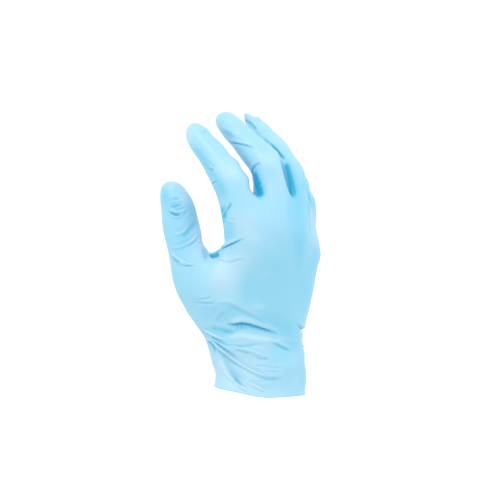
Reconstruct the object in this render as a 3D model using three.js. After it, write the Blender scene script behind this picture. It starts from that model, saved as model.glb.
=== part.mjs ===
// A disposable nitrile examination glove, in the shape that a half-closed right hand gives it.
// One dipped film makes the back, the palm, the five sleeves and the cuff, and its edge is
// rolled into a thin bead. It is hollow, and open at the cuff.
// Frame: origin at the centre of the cuff's mouth, +Z up the forearm, -X to the thumb's side,
// -Y out of the back of the hand, +Y out of the palm. Lengths are millimetres.
import * as THREE from "three";

// Driving dimensions, in millimetres and degrees
const FILM = 1.0;
const BEAD_RADIUS = 1.1;
const CUFF_LENGTH = 36;
const PALM_LENGTH = 86;
const WRIST_WIDTH = 76;
const WRIST_DEPTH = 52;
const PALM_WIDTH = 82;
const PALM_DEPTH = 29;
const WRIST_BEND = 19.5;
const WRIST_BEND_REACH = 9;
const KNUCKLE_FALL = 0.16;
const KNUCKLE_PEAK = -0.2;
const PALM_ARCH = 8;
const RIM_SLANT = 3.2;
const FINGER_LENGTH = 100;
const FINGER_RADIUS = 11.4;
const THUMB_LENGTH = 112;
const THUMB_RADIUS = 12.2;
const THUMB_TURN = 42;
const FOLD_WIDTH = 4;
const FOLD_DEPTH = 2.4;

// How many columns of the control mesh run round the hand, a finger and the thumb
const FINGER_COUNT = 4;
const FINGER_SIDES = 8;
const PALM_COLUMNS = 4 * FINGER_COUNT + 4;
const THUMB_HOLE_ROWS = [7, 10];
const THUMB_HOLE_COLUMNS = [17, 21];

const radians = THREE.MathUtils.degToRad;
const { clamp, lerp, smoothstep } = THREE.MathUtils;
const vector = (x, y, z) => new THREE.Vector3(x, y, z);
const table = (columns, rows) =>
  rows.map((row) => Object.fromEntries(columns.split(" ").map((name, i) => [name, row[i]])));

// Sections of the cuff and the palm. at: 0 is the rim, 1 the wrist, 2 the knuckle line.
// width, back, front: shares of the full width there and of the depth on each side of the
// spine. across, lift: how far the centre lies off the spine, as shares of the half width and
// half depth. heel: share of the thumb's radius that the thumb's corner swells. hollow, cup:
// shares of the palm's arch at the thumb's and the little finger's edge. square: how boxy.
const SECTIONS = table("at width back front across lift heel hollow cup square", [
  [0.0, 0.98, 0.98, 0.97, 0.02, -0.01, 0.0, 0.0, 0.0, 2.0],
  [0.08, 0.965, 0.96, 0.95, 0.03, -0.01, 0.0, 0.0, 0.0, 2.0],
  [0.25, 0.96, 0.96, 0.94, 0.04, -0.01, 0.0, 0.0, 0.0, 2.0],
  [0.45, 0.98, 0.98, 0.96, 0.03, -0.01, 0.0, 0.0, 0.0, 2.0],
  [0.66, 1.0, 1.0, 1.0, 0.01, 0.0, 0.02, 0.0, 0.0, 2.0],
  [0.86, 1.0, 1.0, 1.02, -0.02, 0.03, 0.2, 0.0, 0.0, 2.0],
  [1.03, 1.0, 0.99, 1.02, -0.05, 0.07, 0.4, 0.0, 0.0, 2.1],
  [1.1, 0.99, 0.97, 1.02, -0.05, 0.06, 0.8, 0.1, 0.0, 2.2],
  [1.34, 0.95, 0.94, 1.02, -0.01, 0.02, 0.8, 0.3, 0.1, 2.3],
  [1.6, 0.96, 0.98, 1.06, 0.0, 0.0, 0.5, 0.55, 0.35, 2.4],
  [1.86, 1.0, 1.0, 1.06, 0.0, 0.0, 0.3, 0.75, 0.7, 2.5],
  [1.95, 1.0, 0.99, 1.04, 0.0, 0.0, 0.35, 0.82, 0.92, 2.5],
  [2.05, 1.0, 0.92, 0.98, 0.0, 0.0, 0.4, 0.9, 1.12, 2.5],
]);

// The four fingers, from the thumb's side. across: share of half the palm's width. up: share
// of the palm's length. drop: share of the palm's arch. root: where the first bone leaves the
// webs, as a share of it. Bones and radius are shares of the finger's length and radius.
// Bends are degrees at the knuckle, middle and end joints, splay leans the finger to the
// little finger's side, and roll turns it about itself.
const FINGERS = table("name across up drop root bone1 bone2 bone3 radius bend1 bend2 bend3 splay roll", [
  ["index", -0.785, 0.92, 0.7, 0.42, 0.41, 0.266, 0.237, 0.99, 42, 22, -1, -4, 8],
  ["middle", -0.225, 0.968, 0.0, 0.42, 0.447, 0.315, 0.275, 1.0, 34, 35.5, 3, -1, 0],
  ["ring", 0.33, 0.945, 0.1, 0.36, 0.45, 0.28, 0.28, 0.95, 36, 31, 1, 2, -12],
  ["little", 0.78, 0.84, 1.6, 0.46, 0.33, 0.2, 0.2, 0.82, 34, 43, 12, 9, -28],
]);

// Rings of a finger. at: 0 the knuckle, 1 and 2 the joints, 3 the tip. radius: share of the
// finger's radius. deep: depth over breadth. The first ring is moved to the finger's root.
const FINGER_RINGS = table("at radius deep", [
  [0.42, 1.0, 1.03],
  [0.7, 0.93, 1.08],
  [0.88, 1.0, 1.0],
  [1.12, 1.0, 1.0],
  [1.45, 0.92, 1.0],
  [1.8, 0.85, 0.98],
  [2.15, 0.82, 0.97],
  [2.5, 0.76, 0.96],
  [2.78, 0.66, 0.94],
  [2.94, 0.4, 0.94],
]);

// Rings of the thumb, in its own upright plane. out, up: centre, as shares of its length from
// its root. half, thick: half breadth and half thickness, as shares of its radius. tilt:
// degrees the ring slants. depth: share of its length that the centre lies behind the plane.
const THUMB_RINGS = table("out up half tilt thick depth", [
  [0.158, 0.288, 1.98, 60, 1.3, -0.145],
  [0.215, 0.38, 1.5, 40, 1.22, -0.12],
  [0.24, 0.46, 1.24, 23, 1.14, -0.095],
  [0.268, 0.54, 1.16, 14, 1.06, -0.07],
  [0.288, 0.62, 1.12, 8, 1.02, -0.045],
  [0.305, 0.7, 1.07, 8, 0.99, -0.02],
  [0.32, 0.77, 0.99, 8, 0.92, -0.005],
  [0.338, 0.84, 0.86, 11, 0.8, 0.008],
  [0.353, 0.9, 0.6, 14, 0.54, 0.018],
]);
const THUMB_ROOT = { out: 0.19, up: 0.39 };
const THUMB_TIP = { out: 0.364, up: 0.936, depth: 0.024 };
const THUMB_ROLL = -22;

// Main folds, charted on an upright plane turned by turn degrees about +Z. x: shares of half
// the wrist's width. z: shares of the cuff's length above the rim. bow: sideways bend, as a
// share of the fold's length. width, depth: shares of the fold's, a groove being negative.
const FOLDS = table("name turn x0 z0 x1 z1 bow width depth", [
  ["wrist_valley", -42, -0.72, 1.36, 0.5, 1.1, 0.12, 0.85, -1.2],
  ["wrist_ridge", -42, -1.05, 1.2, 0.1, 0.88, -0.08, 0.85, 0.9],
  ["cuff_sweep", -42, -0.95, 1.02, 0.4, 0.3, -0.14, 0.95, 0.9],
  ["cuff_tuck", -42, -0.66, 0.8, -0.2, 0.3, -0.1, 1.0, -0.6],
  ["heel_arc", -42, -0.9, 1.5, 0.45, 1.28, 0.24, 0.9, 0.7],
  ["palm_valley", 138, -0.75, 1.12, 0.7, 1.28, -0.1, 0.9, -1.1],
  ["palm_sweep", 138, -0.85, 0.85, 0.6, 0.42, 0.12, 0.9, 1.0],
  ["little_side_valley", 48, -0.7, 1.15, 0.6, 1.05, 0.1, 0.85, -0.9],
  ["little_side_sweep", 48, -0.6, 0.4, 0.75, 0.78, 0.08, 0.9, 0.9],
]);

// The centre line of the cuff and the palm: upright, then leaning back past the wrist.
function spine(along) {
  const start = CUFF_LENGTH - WRIST_BEND_REACH;
  const lean = radians(WRIST_BEND) * clamp((along - start) / (2 * WRIST_BEND_REACH), 0, 1);
  const turned = clamp(along - start, 0, 2 * WRIST_BEND_REACH);
  const straight = Math.max(along - start - 2 * WRIST_BEND_REACH, 0);
  const radius = (2 * WRIST_BEND_REACH) / radians(WRIST_BEND);
  const centre = vector(
    0,
    -radius * (1 - Math.cos(turned / radius)) - straight * Math.sin(lean),
    Math.min(along, start) + radius * Math.sin(turned / radius) + straight * Math.cos(lean),
  );
  return { centre, front: vector(0, Math.cos(lean), Math.sin(lean)) };
}

// How far up the palm the knuckle line lies at a share of the half width.
const knuckleHeight = (share) => 1 - KNUCKLE_FALL * (share - KNUCKLE_PEAK) ** 2;

function stationLength(at, share) {
  if (at <= 1) return at * CUFF_LENGTH;
  return CUFF_LENGTH + (at - 1) * PALM_LENGTH * lerp(1, knuckleHeight(share), smoothstep(at, 1, 1.8));
}

// Column 0 is the thumb's edge, then the back, the little finger's edge, and the palm.
function columnOutline(column, square) {
  const half = PALM_COLUMNS / 2;
  if (column % half === 0) return { across: column ? 1 : -1, deep: 0 };
  const share = 0.94 * ((column % half) - half / 2) / (half / 2 - 1);
  const across = column < half ? share : -share;
  const deep = (1 - Math.abs(across) ** square) ** (1 / square);
  return { across, deep: column < half ? -deep : deep };
}

// The thumb's upright plane: out points away from the palm, behind away from the wrist's back.
const THUMB_OUT = vector(-Math.cos(radians(THUMB_TURN)), Math.sin(radians(THUMB_TURN)), 0);
const THUMB_BEHIND = vector(Math.sin(radians(THUMB_TURN)), Math.cos(radians(THUMB_TURN)), 0);

function sectionPoint(section, column) {
  const { across, deep } = columnOutline(column, section.square);
  const halfWidth = (section.width * lerp(WRIST_WIDTH, PALM_WIDTH, smoothstep(section.at, 1, 1.6))) / 2;
  const halfDepth = lerp(WRIST_DEPTH, PALM_DEPTH, smoothstep(section.at, 1, 1.9)) / 2;
  const { centre, front } = spine(stationLength(section.at, across));
  const arch = PALM_ARCH * across * across * (across < 0 ? section.hollow : section.cup);
  const offset = front.multiplyScalar(halfDepth * deep * (deep < 0 ? section.back : section.front) + arch);
  offset.x += halfWidth * across;
  const thumbward = offset.dot(THUMB_OUT) / offset.length();
  offset.addScaledVector(THUMB_OUT, THUMB_RADIUS * section.heel * Math.max(thumbward, 0) ** 2);
  offset.z += RIM_SLANT * thumbward * Math.max(1 - section.at, 0);
  offset.x += halfWidth * section.across;
  offset.y += halfDepth * section.lift;
  return centre.add(offset);
}

// The joints of a finger, by turning each bone on from the one before.
function fingerJoints(finger) {
  const { centre, front } = spine(CUFF_LENGTH + finger.up * PALM_LENGTH);
  const knuckle = centre.addScaledVector(front, PALM_ARCH * finger.drop);
  knuckle.x += (finger.across * PALM_WIDTH) / 2;
  const joints = [knuckle];
  const bones = [finger.bone1, finger.bone2, finger.bone3];
  const splay = radians(finger.splay);
  let lean = -WRIST_BEND;
  [finger.bend1, finger.bend2, finger.bend3].forEach((bend, i) => {
    lean += bend;
    const bone = vector(
      Math.sin(splay),
      Math.sin(radians(lean)) * Math.cos(splay),
      Math.cos(radians(lean)) * Math.cos(splay),
    );
    joints.push(joints[i].clone().addScaledVector(bone, bones[i] * FINGER_LENGTH));
  });
  return joints;
}

// A ring of a control mesh sits outside the round section that it makes once it is smoothed.
const ringSwell = (sides) => 8 / (6 + 2 * Math.cos((2 * Math.PI) / sides));

function fingerRing(curve, finger, ring) {
  const centre = curve.getPoint(ring.at / 3);
  const along = curve.getTangent(ring.at / 3);
  const side = vector(1, 0, 0).addScaledVector(along, -along.x).normalize();
  const back = side.clone().cross(along);
  const radius = finger.radius * FINGER_RADIUS * ring.radius * ringSwell(FINGER_SIDES);
  return Array.from({ length: FINGER_SIDES }, (_, k) => {
    const angle = radians(135 - (360 * k) / FINGER_SIDES + finger.roll);
    return centre
      .clone()
      .addScaledVector(side, radius * Math.cos(angle))
      .addScaledVector(back, radius * ring.deep * Math.sin(angle));
  });
}

function thumbPoint({ out, up, depth }) {
  return vector(0, 0, (THUMB_ROOT.up + up) * THUMB_LENGTH)
    .addScaledVector(THUMB_OUT, (THUMB_ROOT.out + out) * THUMB_LENGTH)
    .addScaledVector(THUMB_BEHIND, depth * THUMB_LENGTH);
}

function thumbRing(ring, sides) {
  const centre = thumbPoint(ring);
  const inward = THUMB_OUT.clone().multiplyScalar(-Math.cos(radians(ring.tilt)));
  inward.z = Math.sin(radians(ring.tilt));
  const swell = THUMB_RADIUS * ringSwell(sides);
  return Array.from({ length: sides }, (_, k) => {
    const angle = radians(THUMB_ROLL) - (2 * Math.PI * k) / sides;
    return centre
      .clone()
      .addScaledVector(inward, swell * ring.half * Math.sin(angle))
      .addScaledVector(THUMB_BEHIND, swell * ring.thick * Math.cos(angle));
  });
}

// The control mesh: a few hundred four-sided faces, open at the cuff.
function controlMesh() {
  const points = [];
  const faces = [];
  const put = (point) => points.push(point) - 1;
  const bridge = (lower, upper) =>
    lower.forEach((a, k) => {
      const next = (k + 1) % lower.length;
      faces.push([a, lower[next], upper[next], upper[k]]);
    });
  const cap = (ring, tip) => {
    const centre = put(tip);
    for (let k = 0; k < ring.length; k += 2)
      faces.push([ring[k], ring[k + 1], ring[(k + 2) % ring.length], centre]);
  };

  const columns = Array.from({ length: PALM_COLUMNS }, (_, column) => column);
  const rows = SECTIONS.map((section) => columns.map((column) => put(sectionPoint(section, column))));

  // The finger roots share their corners with their neighbours, and a web joins two roots.
  const curves = FINGERS.map((finger) => new THREE.CatmullRomCurve3(fingerJoints(finger)));
  const roots = FINGERS.map((finger, i) => fingerRing(curves[i], finger, { ...FINGER_RINGS[0], at: finger.root }));
  const half = PALM_COLUMNS / 2;
  const between = (a, b) => put(a.clone().add(b).multiplyScalar(0.5));
  const top = Array(PALM_COLUMNS);
  const webs = [];
  top[0] = put(roots[0][7]);
  top[half] = put(roots[FINGER_COUNT - 1][3]);
  webs[0] = top[0];
  webs[FINGER_COUNT] = top[half];
  for (let f = 0; f <= FINGER_COUNT; f++) {
    const left = roots[Math.max(f - 1, 0)];
    const right = roots[Math.min(f, FINGER_COUNT - 1)];
    const outer = f % FINGER_COUNT === 0;
    top[1 + 2 * f] = outer ? put((f ? left[2] : right[0]).clone()) : between(left[2], right[0]);
    top[PALM_COLUMNS - 1 - 2 * f] = outer ? put((f ? left[4] : right[6]).clone()) : between(left[4], right[6]);
    if (!outer) webs[f] = between(left[3], right[7]);
    if (f === FINGER_COUNT) continue;
    top[2 + 2 * f] = put(right[1].clone());
    top[PALM_COLUMNS - 2 - 2 * f] = put(right[5].clone());
  }
  rows.push(top);

  const [firstRow, lastRow] = THUMB_HOLE_ROWS;
  const [firstColumn, lastColumn] = THUMB_HOLE_COLUMNS;
  for (let r = 0; r + 1 < rows.length; r++)
    for (const c of columns) {
      const next = (c + 1) % PALM_COLUMNS;
      const inRows = r >= firstRow && r < lastRow;
      const turned = c < half ? c + PALM_COLUMNS : c;
      const inColumns = turned >= firstColumn && turned < lastColumn;
      if (inRows && inColumns) continue;
      faces.push([rows[r][c], rows[r][next], rows[r + 1][next], rows[r + 1][c]]);
    }

  FINGERS.forEach((finger, f) => {
    const back = top.slice(1 + 2 * f, 4 + 2 * f);
    const low = PALM_COLUMNS - 1 - 2 * f;
    let ring = [...back, webs[f + 1], top[low - 2], top[low - 1], top[low], webs[f]];
    for (const row of FINGER_RINGS.slice(1)) {
      const next = fingerRing(curves[f], finger, row).map(put);
      bridge(ring, next);
      ring = next;
    }
    cap(ring, curves[f].getPoint(1));
  });

  // The thumb's sleeve starts on the edge of a hole in the palm's side.
  let edge = [];
  const hole = (r, c) => edge.push(rows[r][c % PALM_COLUMNS]);
  for (let c = firstColumn; c <= lastColumn; c++) hole(firstRow, c);
  for (let r = firstRow + 1; r <= lastRow; r++) hole(r, lastColumn);
  for (let c = lastColumn - 1; c >= firstColumn; c--) hole(lastRow, c);
  for (let r = lastRow - 1; r > firstRow; r--) hole(r, firstColumn);
  for (const row of THUMB_RINGS) {
    const next = thumbRing(row, edge.length).map(put);
    bridge(edge, next);
    edge = next;
  }
  cap(edge, thumbPoint(THUMB_TIP));

  // The points inside the hole are on no face, and are left out.
  const kept = [...new Set(faces.flat())];
  const index = new Map(kept.map((old, i) => [old, i]));
  return { points: kept.map((i) => points[i]), faces: faces.map((face) => face.map((i) => index.get(i))) };
}

// One step of Catmull-Clark subdivision. An open edge is smoothed along itself.
function subdivide({ points, faces }) {
  const edges = new Map();
  const made = points.map(() => ({ face: vector(0, 0, 0), edge: vector(0, 0, 0), faces: 0, edges: 0, rim: [] }));
  const out = points.map((point) => point.clone());
  const centres = faces.map((face) => {
    const centre = vector(0, 0, 0);
    face.forEach((i) => centre.addScaledVector(points[i], 1 / face.length));
    face.forEach((i) => {
      made[i].face.add(centre);
      made[i].faces++;
    });
    return centre;
  });
  const key = (a, b) => (a < b ? `${a} ${b}` : `${b} ${a}`);
  faces.forEach((face, f) =>
    face.forEach((a, k) => {
      const b = face[(k + 1) % face.length];
      if (!edges.has(key(a, b))) edges.set(key(a, b), { a, b, faces: [] });
      edges.get(key(a, b)).faces.push(f);
    }),
  );
  for (const edge of edges.values()) {
    const middle = points[edge.a].clone().add(points[edge.b]).multiplyScalar(0.5);
    for (const i of [edge.a, edge.b]) {
      made[i].edge.add(middle);
      made[i].edges++;
      if (edge.faces.length === 1) made[i].rim.push(middle);
    }
    const smooth = edge.faces.length === 2;
    if (smooth) middle.add(centres[edge.faces[0]].clone().add(centres[edge.faces[1]]).multiplyScalar(0.5)).multiplyScalar(0.5);
    edge.point = out.push(middle) - 1;
  }
  const centreIndex = centres.map((centre) => out.push(centre) - 1);
  points.forEach((point, i) => {
    const { face, edge, faces: n, edges: m, rim } = made[i];
    if (rim.length === 2) {
      out[i].multiplyScalar(0.5).addScaledVector(rim[0], 0.25).addScaledVector(rim[1], 0.25);
      return;
    }
    out[i]
      .multiplyScalar((n - 3) / n)
      .addScaledVector(face, 1 / (n * n))
      .addScaledVector(edge, 2 / (m * n));
  });
  const split = faces.flatMap((face, f) =>
    face.map((a, k) => {
      const b = face[(k + 1) % face.length];
      const z = face[(k + face.length - 1) % face.length];
      return [a, edges.get(key(a, b)).point, centreIndex[f], edges.get(key(z, a)).point];
    }),
  );
  return { points: out, faces: split };
}

function normalsOf({ points, faces }) {
  const normals = points.map(() => vector(0, 0, 0));
  for (const face of faces) {
    const [a, b, c, d] = face.map((i) => points[i]);
    const normal = c.clone().sub(a).cross(d.clone().sub(b));
    face.forEach((i) => normals[i].add(normal));
  }
  return normals.map((normal) => normal.normalize());
}

// How far the folds push a point along its normal.
function foldLift(point, normal) {
  let lift = 0;
  for (const fold of FOLDS) {
    const turn = radians(fold.turn);
    const right = vector(Math.cos(turn), Math.sin(turn), 0);
    const toViewer = vector(Math.sin(turn), -Math.cos(turn), 0);
    const facing = normal.dot(toViewer);
    if (facing <= 0) continue;
    const start = new THREE.Vector2((fold.x0 * WRIST_WIDTH) / 2, fold.z0 * CUFF_LENGTH);
    const end = new THREE.Vector2((fold.x1 * WRIST_WIDTH) / 2, fold.z1 * CUFF_LENGTH);
    const run = end.clone().sub(start);
    const at = new THREE.Vector2(point.dot(right), point.z).sub(start);
    const share = at.dot(run) / run.lengthSq();
    if (share <= 0 || share >= 1) continue;
    const bow = fold.bow * 4 * share * (1 - share) * run.length();
    const off = run.cross(at) / run.length() - bow;
    const fade = Math.sqrt(Math.sin(Math.PI * share)) * smoothstep(facing, 0, 0.5);
    lift += fold.depth * FOLD_DEPTH * fade * Math.exp(-((off / (fold.width * FOLD_WIDTH)) ** 2));
  }
  return lift;
}

// The outer and inner faces of the film, joined round the rim by the bead.
function film(sheet) {
  const base = normalsOf(sheet);
  const outer = sheet.points.map((point, i) => point.clone().addScaledVector(base[i], foldLift(point, base[i])));
  const sharp = normalsOf({ points: outer, faces: sheet.faces });
  const normals = sharp.map((normal) => normal.clone());
  sheet.faces.forEach((face) => face.forEach((i) => face.forEach((j) => normals[i].addScaledVector(sharp[j], 0.25))));
  normals.forEach((normal) => normal.normalize());
  const inner = outer.map((point, i) => point.clone().addScaledVector(normals[i], -FILM));
  const points = [...outer, ...inner];
  const triangles = [];
  const quad = (a, b, c, d) => triangles.push(a, b, c, a, c, d);
  const count = outer.length;
  sheet.faces.forEach(([a, b, c, d]) => {
    quad(a, b, c, d);
    quad(count + d, count + c, count + b, count + a);
  });

  const uses = new Map();
  sheet.faces.forEach((face) =>
    face.forEach((a, k) => uses.set(`${face[(k + 1) % 4]} ${a}`, (uses.get(`${face[(k + 1) % 4]} ${a}`) || 0) + 1)),
  );
  const rim = [];
  sheet.faces.forEach((face) =>
    face.forEach((a, k) => {
      const b = face[(k + 1) % 4];
      if (!uses.has(`${a} ${b}`)) rim.push([a, b]);
    }),
  );
  const steps = 5;
  const bead = new Map();
  for (const [a] of rim) {
    const middle = outer[a].clone().add(inner[a]).multiplyScalar(0.5);
    const outward = normals[a].clone().setZ(0).normalize();
    const ring = [a];
    for (let s = 0; s <= steps; s++) {
      const angle = radians(60 - (300 * s) / steps);
      const point = middle.clone().addScaledVector(outward, BEAD_RADIUS * Math.cos(angle));
      point.z += BEAD_RADIUS * (Math.sin(angle) - Math.sin(radians(60)));
      ring.push(points.push(point) - 1);
    }
    ring.push(count + a);
    bead.set(a, ring);
  }
  for (const [a, b] of rim)
    for (let s = 0; s + 1 < bead.get(a).length; s++)
      quad(bead.get(a)[s], bead.get(a)[s + 1], bead.get(b)[s + 1], bead.get(b)[s]);

  const geometry = new THREE.BufferGeometry().setFromPoints(points);
  geometry.setIndex(triangles);
  geometry.computeVertexNormals();
  return geometry;
}

const nitrile = new THREE.MeshStandardMaterial({ color: 0xa9e0f7, roughness: 0.45, metalness: 0 });
const glove = new THREE.Mesh(film(subdivide(controlMesh())), nitrile);
glove.name = "glove_film";

const part = new THREE.Group();
part.add(glove);
export default part;
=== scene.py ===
# %% [markdown]
# A disposable nitrile glove
#
# The glove is one thin film, dipped on a former, so it has no seams and no second layer. What
# makes it look like nitrile is the way that the film stretches over knuckles, gathers at the
# wrist and shines softly. A cloth simulation could dress a form with it, but each run would fold
# it elsewhere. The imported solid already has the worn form. So this script makes a much thinner
# and finer film on that form, then folds it where the photograph does.

import math

import bmesh
import bpy
import mathutils
import numpy as np
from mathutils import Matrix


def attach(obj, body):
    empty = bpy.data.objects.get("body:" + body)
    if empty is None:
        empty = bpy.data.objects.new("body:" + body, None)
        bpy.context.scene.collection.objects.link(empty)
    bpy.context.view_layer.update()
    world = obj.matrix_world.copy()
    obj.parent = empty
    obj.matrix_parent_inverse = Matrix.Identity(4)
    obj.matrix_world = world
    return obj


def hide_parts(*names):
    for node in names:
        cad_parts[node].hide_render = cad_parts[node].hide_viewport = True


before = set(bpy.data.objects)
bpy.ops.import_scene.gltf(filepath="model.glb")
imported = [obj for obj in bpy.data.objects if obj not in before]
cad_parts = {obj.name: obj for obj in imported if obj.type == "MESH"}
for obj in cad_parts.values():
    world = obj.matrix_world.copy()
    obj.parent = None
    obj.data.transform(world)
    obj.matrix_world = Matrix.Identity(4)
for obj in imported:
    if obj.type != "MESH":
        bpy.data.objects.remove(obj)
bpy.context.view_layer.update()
cad_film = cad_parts["glove_film"]
MM = 0.001

# %% [markdown]
# The photograph's frame comes first, because the folds are placed by it. The camera stands to
# the thumb's side of the glove's back, nearly level with it. It could be aimed in the viewport,
# but a few named numbers also let the script work out where each point of the film falls on
# the picture, which is 500 by 500 pixels.

# %% Camera at the photograph's angle
# degrees round the glove and up from level; then in metres how far away the camera is, how wide
# its view is there, and what it aims at, to the right of the frame's middle and up
PHOTO_AZIMUTH = -42.0
PHOTO_ELEVATION = 3.0
PHOTO_DISTANCE = 1.10
PHOTO_WIDTH = 0.350
PHOTO_PIXELS = 500
PHOTO_AIM = (-0.0063, 0.0994)
SENSOR_WIDTH = 36.0


def camera_axes(azimuth, elevation):
    """Unit vectors to the picture's right, to its top and back towards the camera."""
    a, e = math.radians(azimuth), math.radians(elevation)
    back = np.array([math.sin(a) * math.cos(e), -math.cos(a) * math.cos(e), math.sin(e)])
    right = np.array([math.cos(a), math.sin(a), 0.0])
    return right, np.cross(back, right), back


right, up, back = camera_axes(PHOTO_AZIMUTH, PHOTO_ELEVATION)
aim = right * PHOTO_AIM[0] + np.array([0.0, 0.0, PHOTO_AIM[1]])
eye = aim + back * PHOTO_DISTANCE
camera = bpy.data.objects.new("camera", bpy.data.cameras.new("camera"))
bpy.context.collection.objects.link(camera)
camera.location = eye
camera.rotation_euler = (math.radians(90.0 - PHOTO_ELEVATION), 0.0, math.radians(PHOTO_AZIMUTH))
camera.data.sensor_width = SENSOR_WIDTH
camera.data.lens = SENSOR_WIDTH * PHOTO_DISTANCE / PHOTO_WIDTH
camera.data.clip_end = 20.0
bpy.context.scene.camera = camera


def on_photo(points):
    """Pixels of points: how far right and down they lie, over how far away they lie."""
    rel = points - eye
    scale = PHOTO_PIXELS * PHOTO_DISTANCE / PHOTO_WIDTH / -(rel @ back)
    half = PHOTO_PIXELS / 2
    return np.stack([half + scale * (rel @ right), half - scale * (rel @ up)], axis=1)


def smoothstep(low, high, x):
    """0 below low, 1 above high, and 3t^2 - 2t^3 between them."""
    t = np.clip((x - low) / (high - low), 0.0, 1.0)
    return t * t * (3.0 - 2.0 * t)


print("camera at", np.round(eye, 3).tolist(), "lens", round(camera.data.lens, 1))

# %% [markdown]
# The film's outer face
#
# The solid is a closed shell of triangles: an outer face, an inner face and the bead that
# joins them. Once the bead's small triangles are taken away, the two faces come apart, and the
# larger one is the outside. A voxel remesh would make it even, but its faces wouldn't run along
# the fingers. Each pair of triangles was one four-sided face, so the diagonals are dissolved
# again and Subdivision Surface can round the form smoothly.

# %% A copy of the solid's outer face, in four-sided faces
BEAD_EDGE = 1.25 * MM
SAME_POINT = 1e-6


def islands_of(bm):
    """The mesh's parts that share no edge, the one with the most area first."""
    seen = set()
    parts = []
    for start in bm.faces:
        if start in seen:
            continue
        seen.add(start)
        part, queue = [], [start]
        while queue:
            face = queue.pop()
            part.append(face)
            near = [other for edge in face.edges for other in edge.link_faces if other not in seen]
            seen.update(near)
            queue.extend(set(near))
        parts.append(part)
    return sorted(parts, key=lambda part: sum(f.calc_area() for f in part), reverse=True)


def outer_sheet(source):
    """The larger part of the shell, once triangles with an edge shorter than BEAD_EDGE go."""
    bm = bmesh.new()
    bm.from_mesh(source.data)
    bmesh.ops.remove_doubles(bm, verts=bm.verts, dist=SAME_POINT)
    small = [f for f in bm.faces if min(e.calc_length() for e in f.edges) < BEAD_EDGE]
    bmesh.ops.delete(bm, geom=small, context="FACES")
    parts = islands_of(bm)
    print("faces in the shell's parts:", [len(part) for part in parts])
    for part in parts[1:]:
        bmesh.ops.delete(bm, geom=part, context="FACES")
    bmesh.ops.delete(bm, geom=[v for v in bm.verts if not v.link_faces], context="VERTS")
    busy = {v for v in bm.verts if len(v.link_edges) > 4}
    diagonals = [e for e in bm.edges if e.verts[0] in busy and e.verts[1] in busy]
    bmesh.ops.dissolve_edges(bm, edges=diagonals, use_verts=False)
    mesh = bpy.data.meshes.new("film_base")
    bm.to_mesh(mesh)
    bm.free()
    return mesh


film_base = outer_sheet(cad_film)
four_sided = sum(len(p.vertices) == 4 for p in film_base.polygons)
print("four-sided faces:", four_sided, "of", len(film_base.polygons))


# %% Rounding the sheet
OUTER_LEVELS = 2
INNER_LEVELS = 1


def rounded(mesh, levels):
    """A new mesh: the old one after that many steps of Catmull-Clark subdivision."""
    holder = bpy.data.objects.new("rounding", mesh)
    bpy.context.collection.objects.link(holder)
    smooth = holder.modifiers.new("rounding", "SUBSURF")
    smooth.levels = levels
    smooth.render_levels = levels
    smooth.boundary_smooth = "ALL"
    graph = bpy.context.evaluated_depsgraph_get()
    result = bpy.data.meshes.new_from_object(holder.evaluated_get(graph))
    bpy.data.objects.remove(holder)
    return result


def points_of(mesh):
    """The mesh's points and point normals, as two arrays of shape (n, 3)."""
    points = np.empty(len(mesh.vertices) * 3)
    normals = np.empty(len(mesh.vertices) * 3)
    mesh.vertices.foreach_get("co", points)
    mesh.vertices.foreach_get("normal", normals)
    return points.reshape(-1, 3), normals.reshape(-1, 3)


outer = rounded(film_base, OUTER_LEVELS)
inner = rounded(film_base, INNER_LEVELS)
print("outer faces:", len(outer.polygons), "inner faces:", len(inner.polygons))

# %% [markdown]
# Where the glove bends
#
# Folds lie across the joints, so the script needs the joints. They could be marked by empties
# in the viewport, but then they would no longer follow the form. So the centre lines are worked
# out from the same named shares that made the solid.

# %% Centre lines of the fingers and the thumb
# in millimetres and degrees
CUFF_LENGTH, PALM_LENGTH, PALM_WIDTH, PALM_ARCH = 36.0, 86.0, 82.0, 8.0
WRIST_BEND, WRIST_BEND_REACH = 19.5, 9.0
FINGER_LENGTH, FINGER_RADIUS = 100.0, 11.4
THUMB_LENGTH, THUMB_RADIUS, THUMB_TURN = 112.0, 12.2, 42.0

# across, up and drop place the knuckle; then three bones, three bends and the splay
FINGERS = {
    "index": (-0.785, 0.92, 0.7, (0.41, 0.266, 0.237), (42, 22, -1), -4),
    "middle": (-0.225, 0.968, 0.0, (0.447, 0.315, 0.275), (34, 35.5, 3), -1),
    "ring": (0.33, 0.945, 0.1, (0.45, 0.28, 0.28), (36, 31, 1), 2),
    "little": (0.78, 0.84, 1.6, (0.33, 0.2, 0.2), (34, 43, 12), 9),
}
# where the thumb leaves the palm, out and up, and how far on from there, up and behind each of
# its centres lies, all in shares of its length
THUMB_START = (0.19, 0.39)
THUMB = ((0.158, 0.288, -0.145), (0.24, 0.46, -0.095), (0.305, 0.7, -0.02), (0.364, 0.936, 0.024))


def palm_axis(along):
    """A point of the palm's centre line and its front: above the wrist's arc, the line goes
    straight on, leaning back by the wrist's bend."""
    lean = math.radians(WRIST_BEND)
    start = CUFF_LENGTH - WRIST_BEND_REACH
    radius = 2 * WRIST_BEND_REACH / lean
    straight = along - start - 2 * WRIST_BEND_REACH
    centre = np.array(
        [
            0.0,
            -radius * (1 - math.cos(lean)) - straight * math.sin(lean),
            start + radius * math.sin(lean) + straight * math.cos(lean),
        ]
    )
    return centre, np.array([0.0, math.cos(lean), math.sin(lean)])


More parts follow.
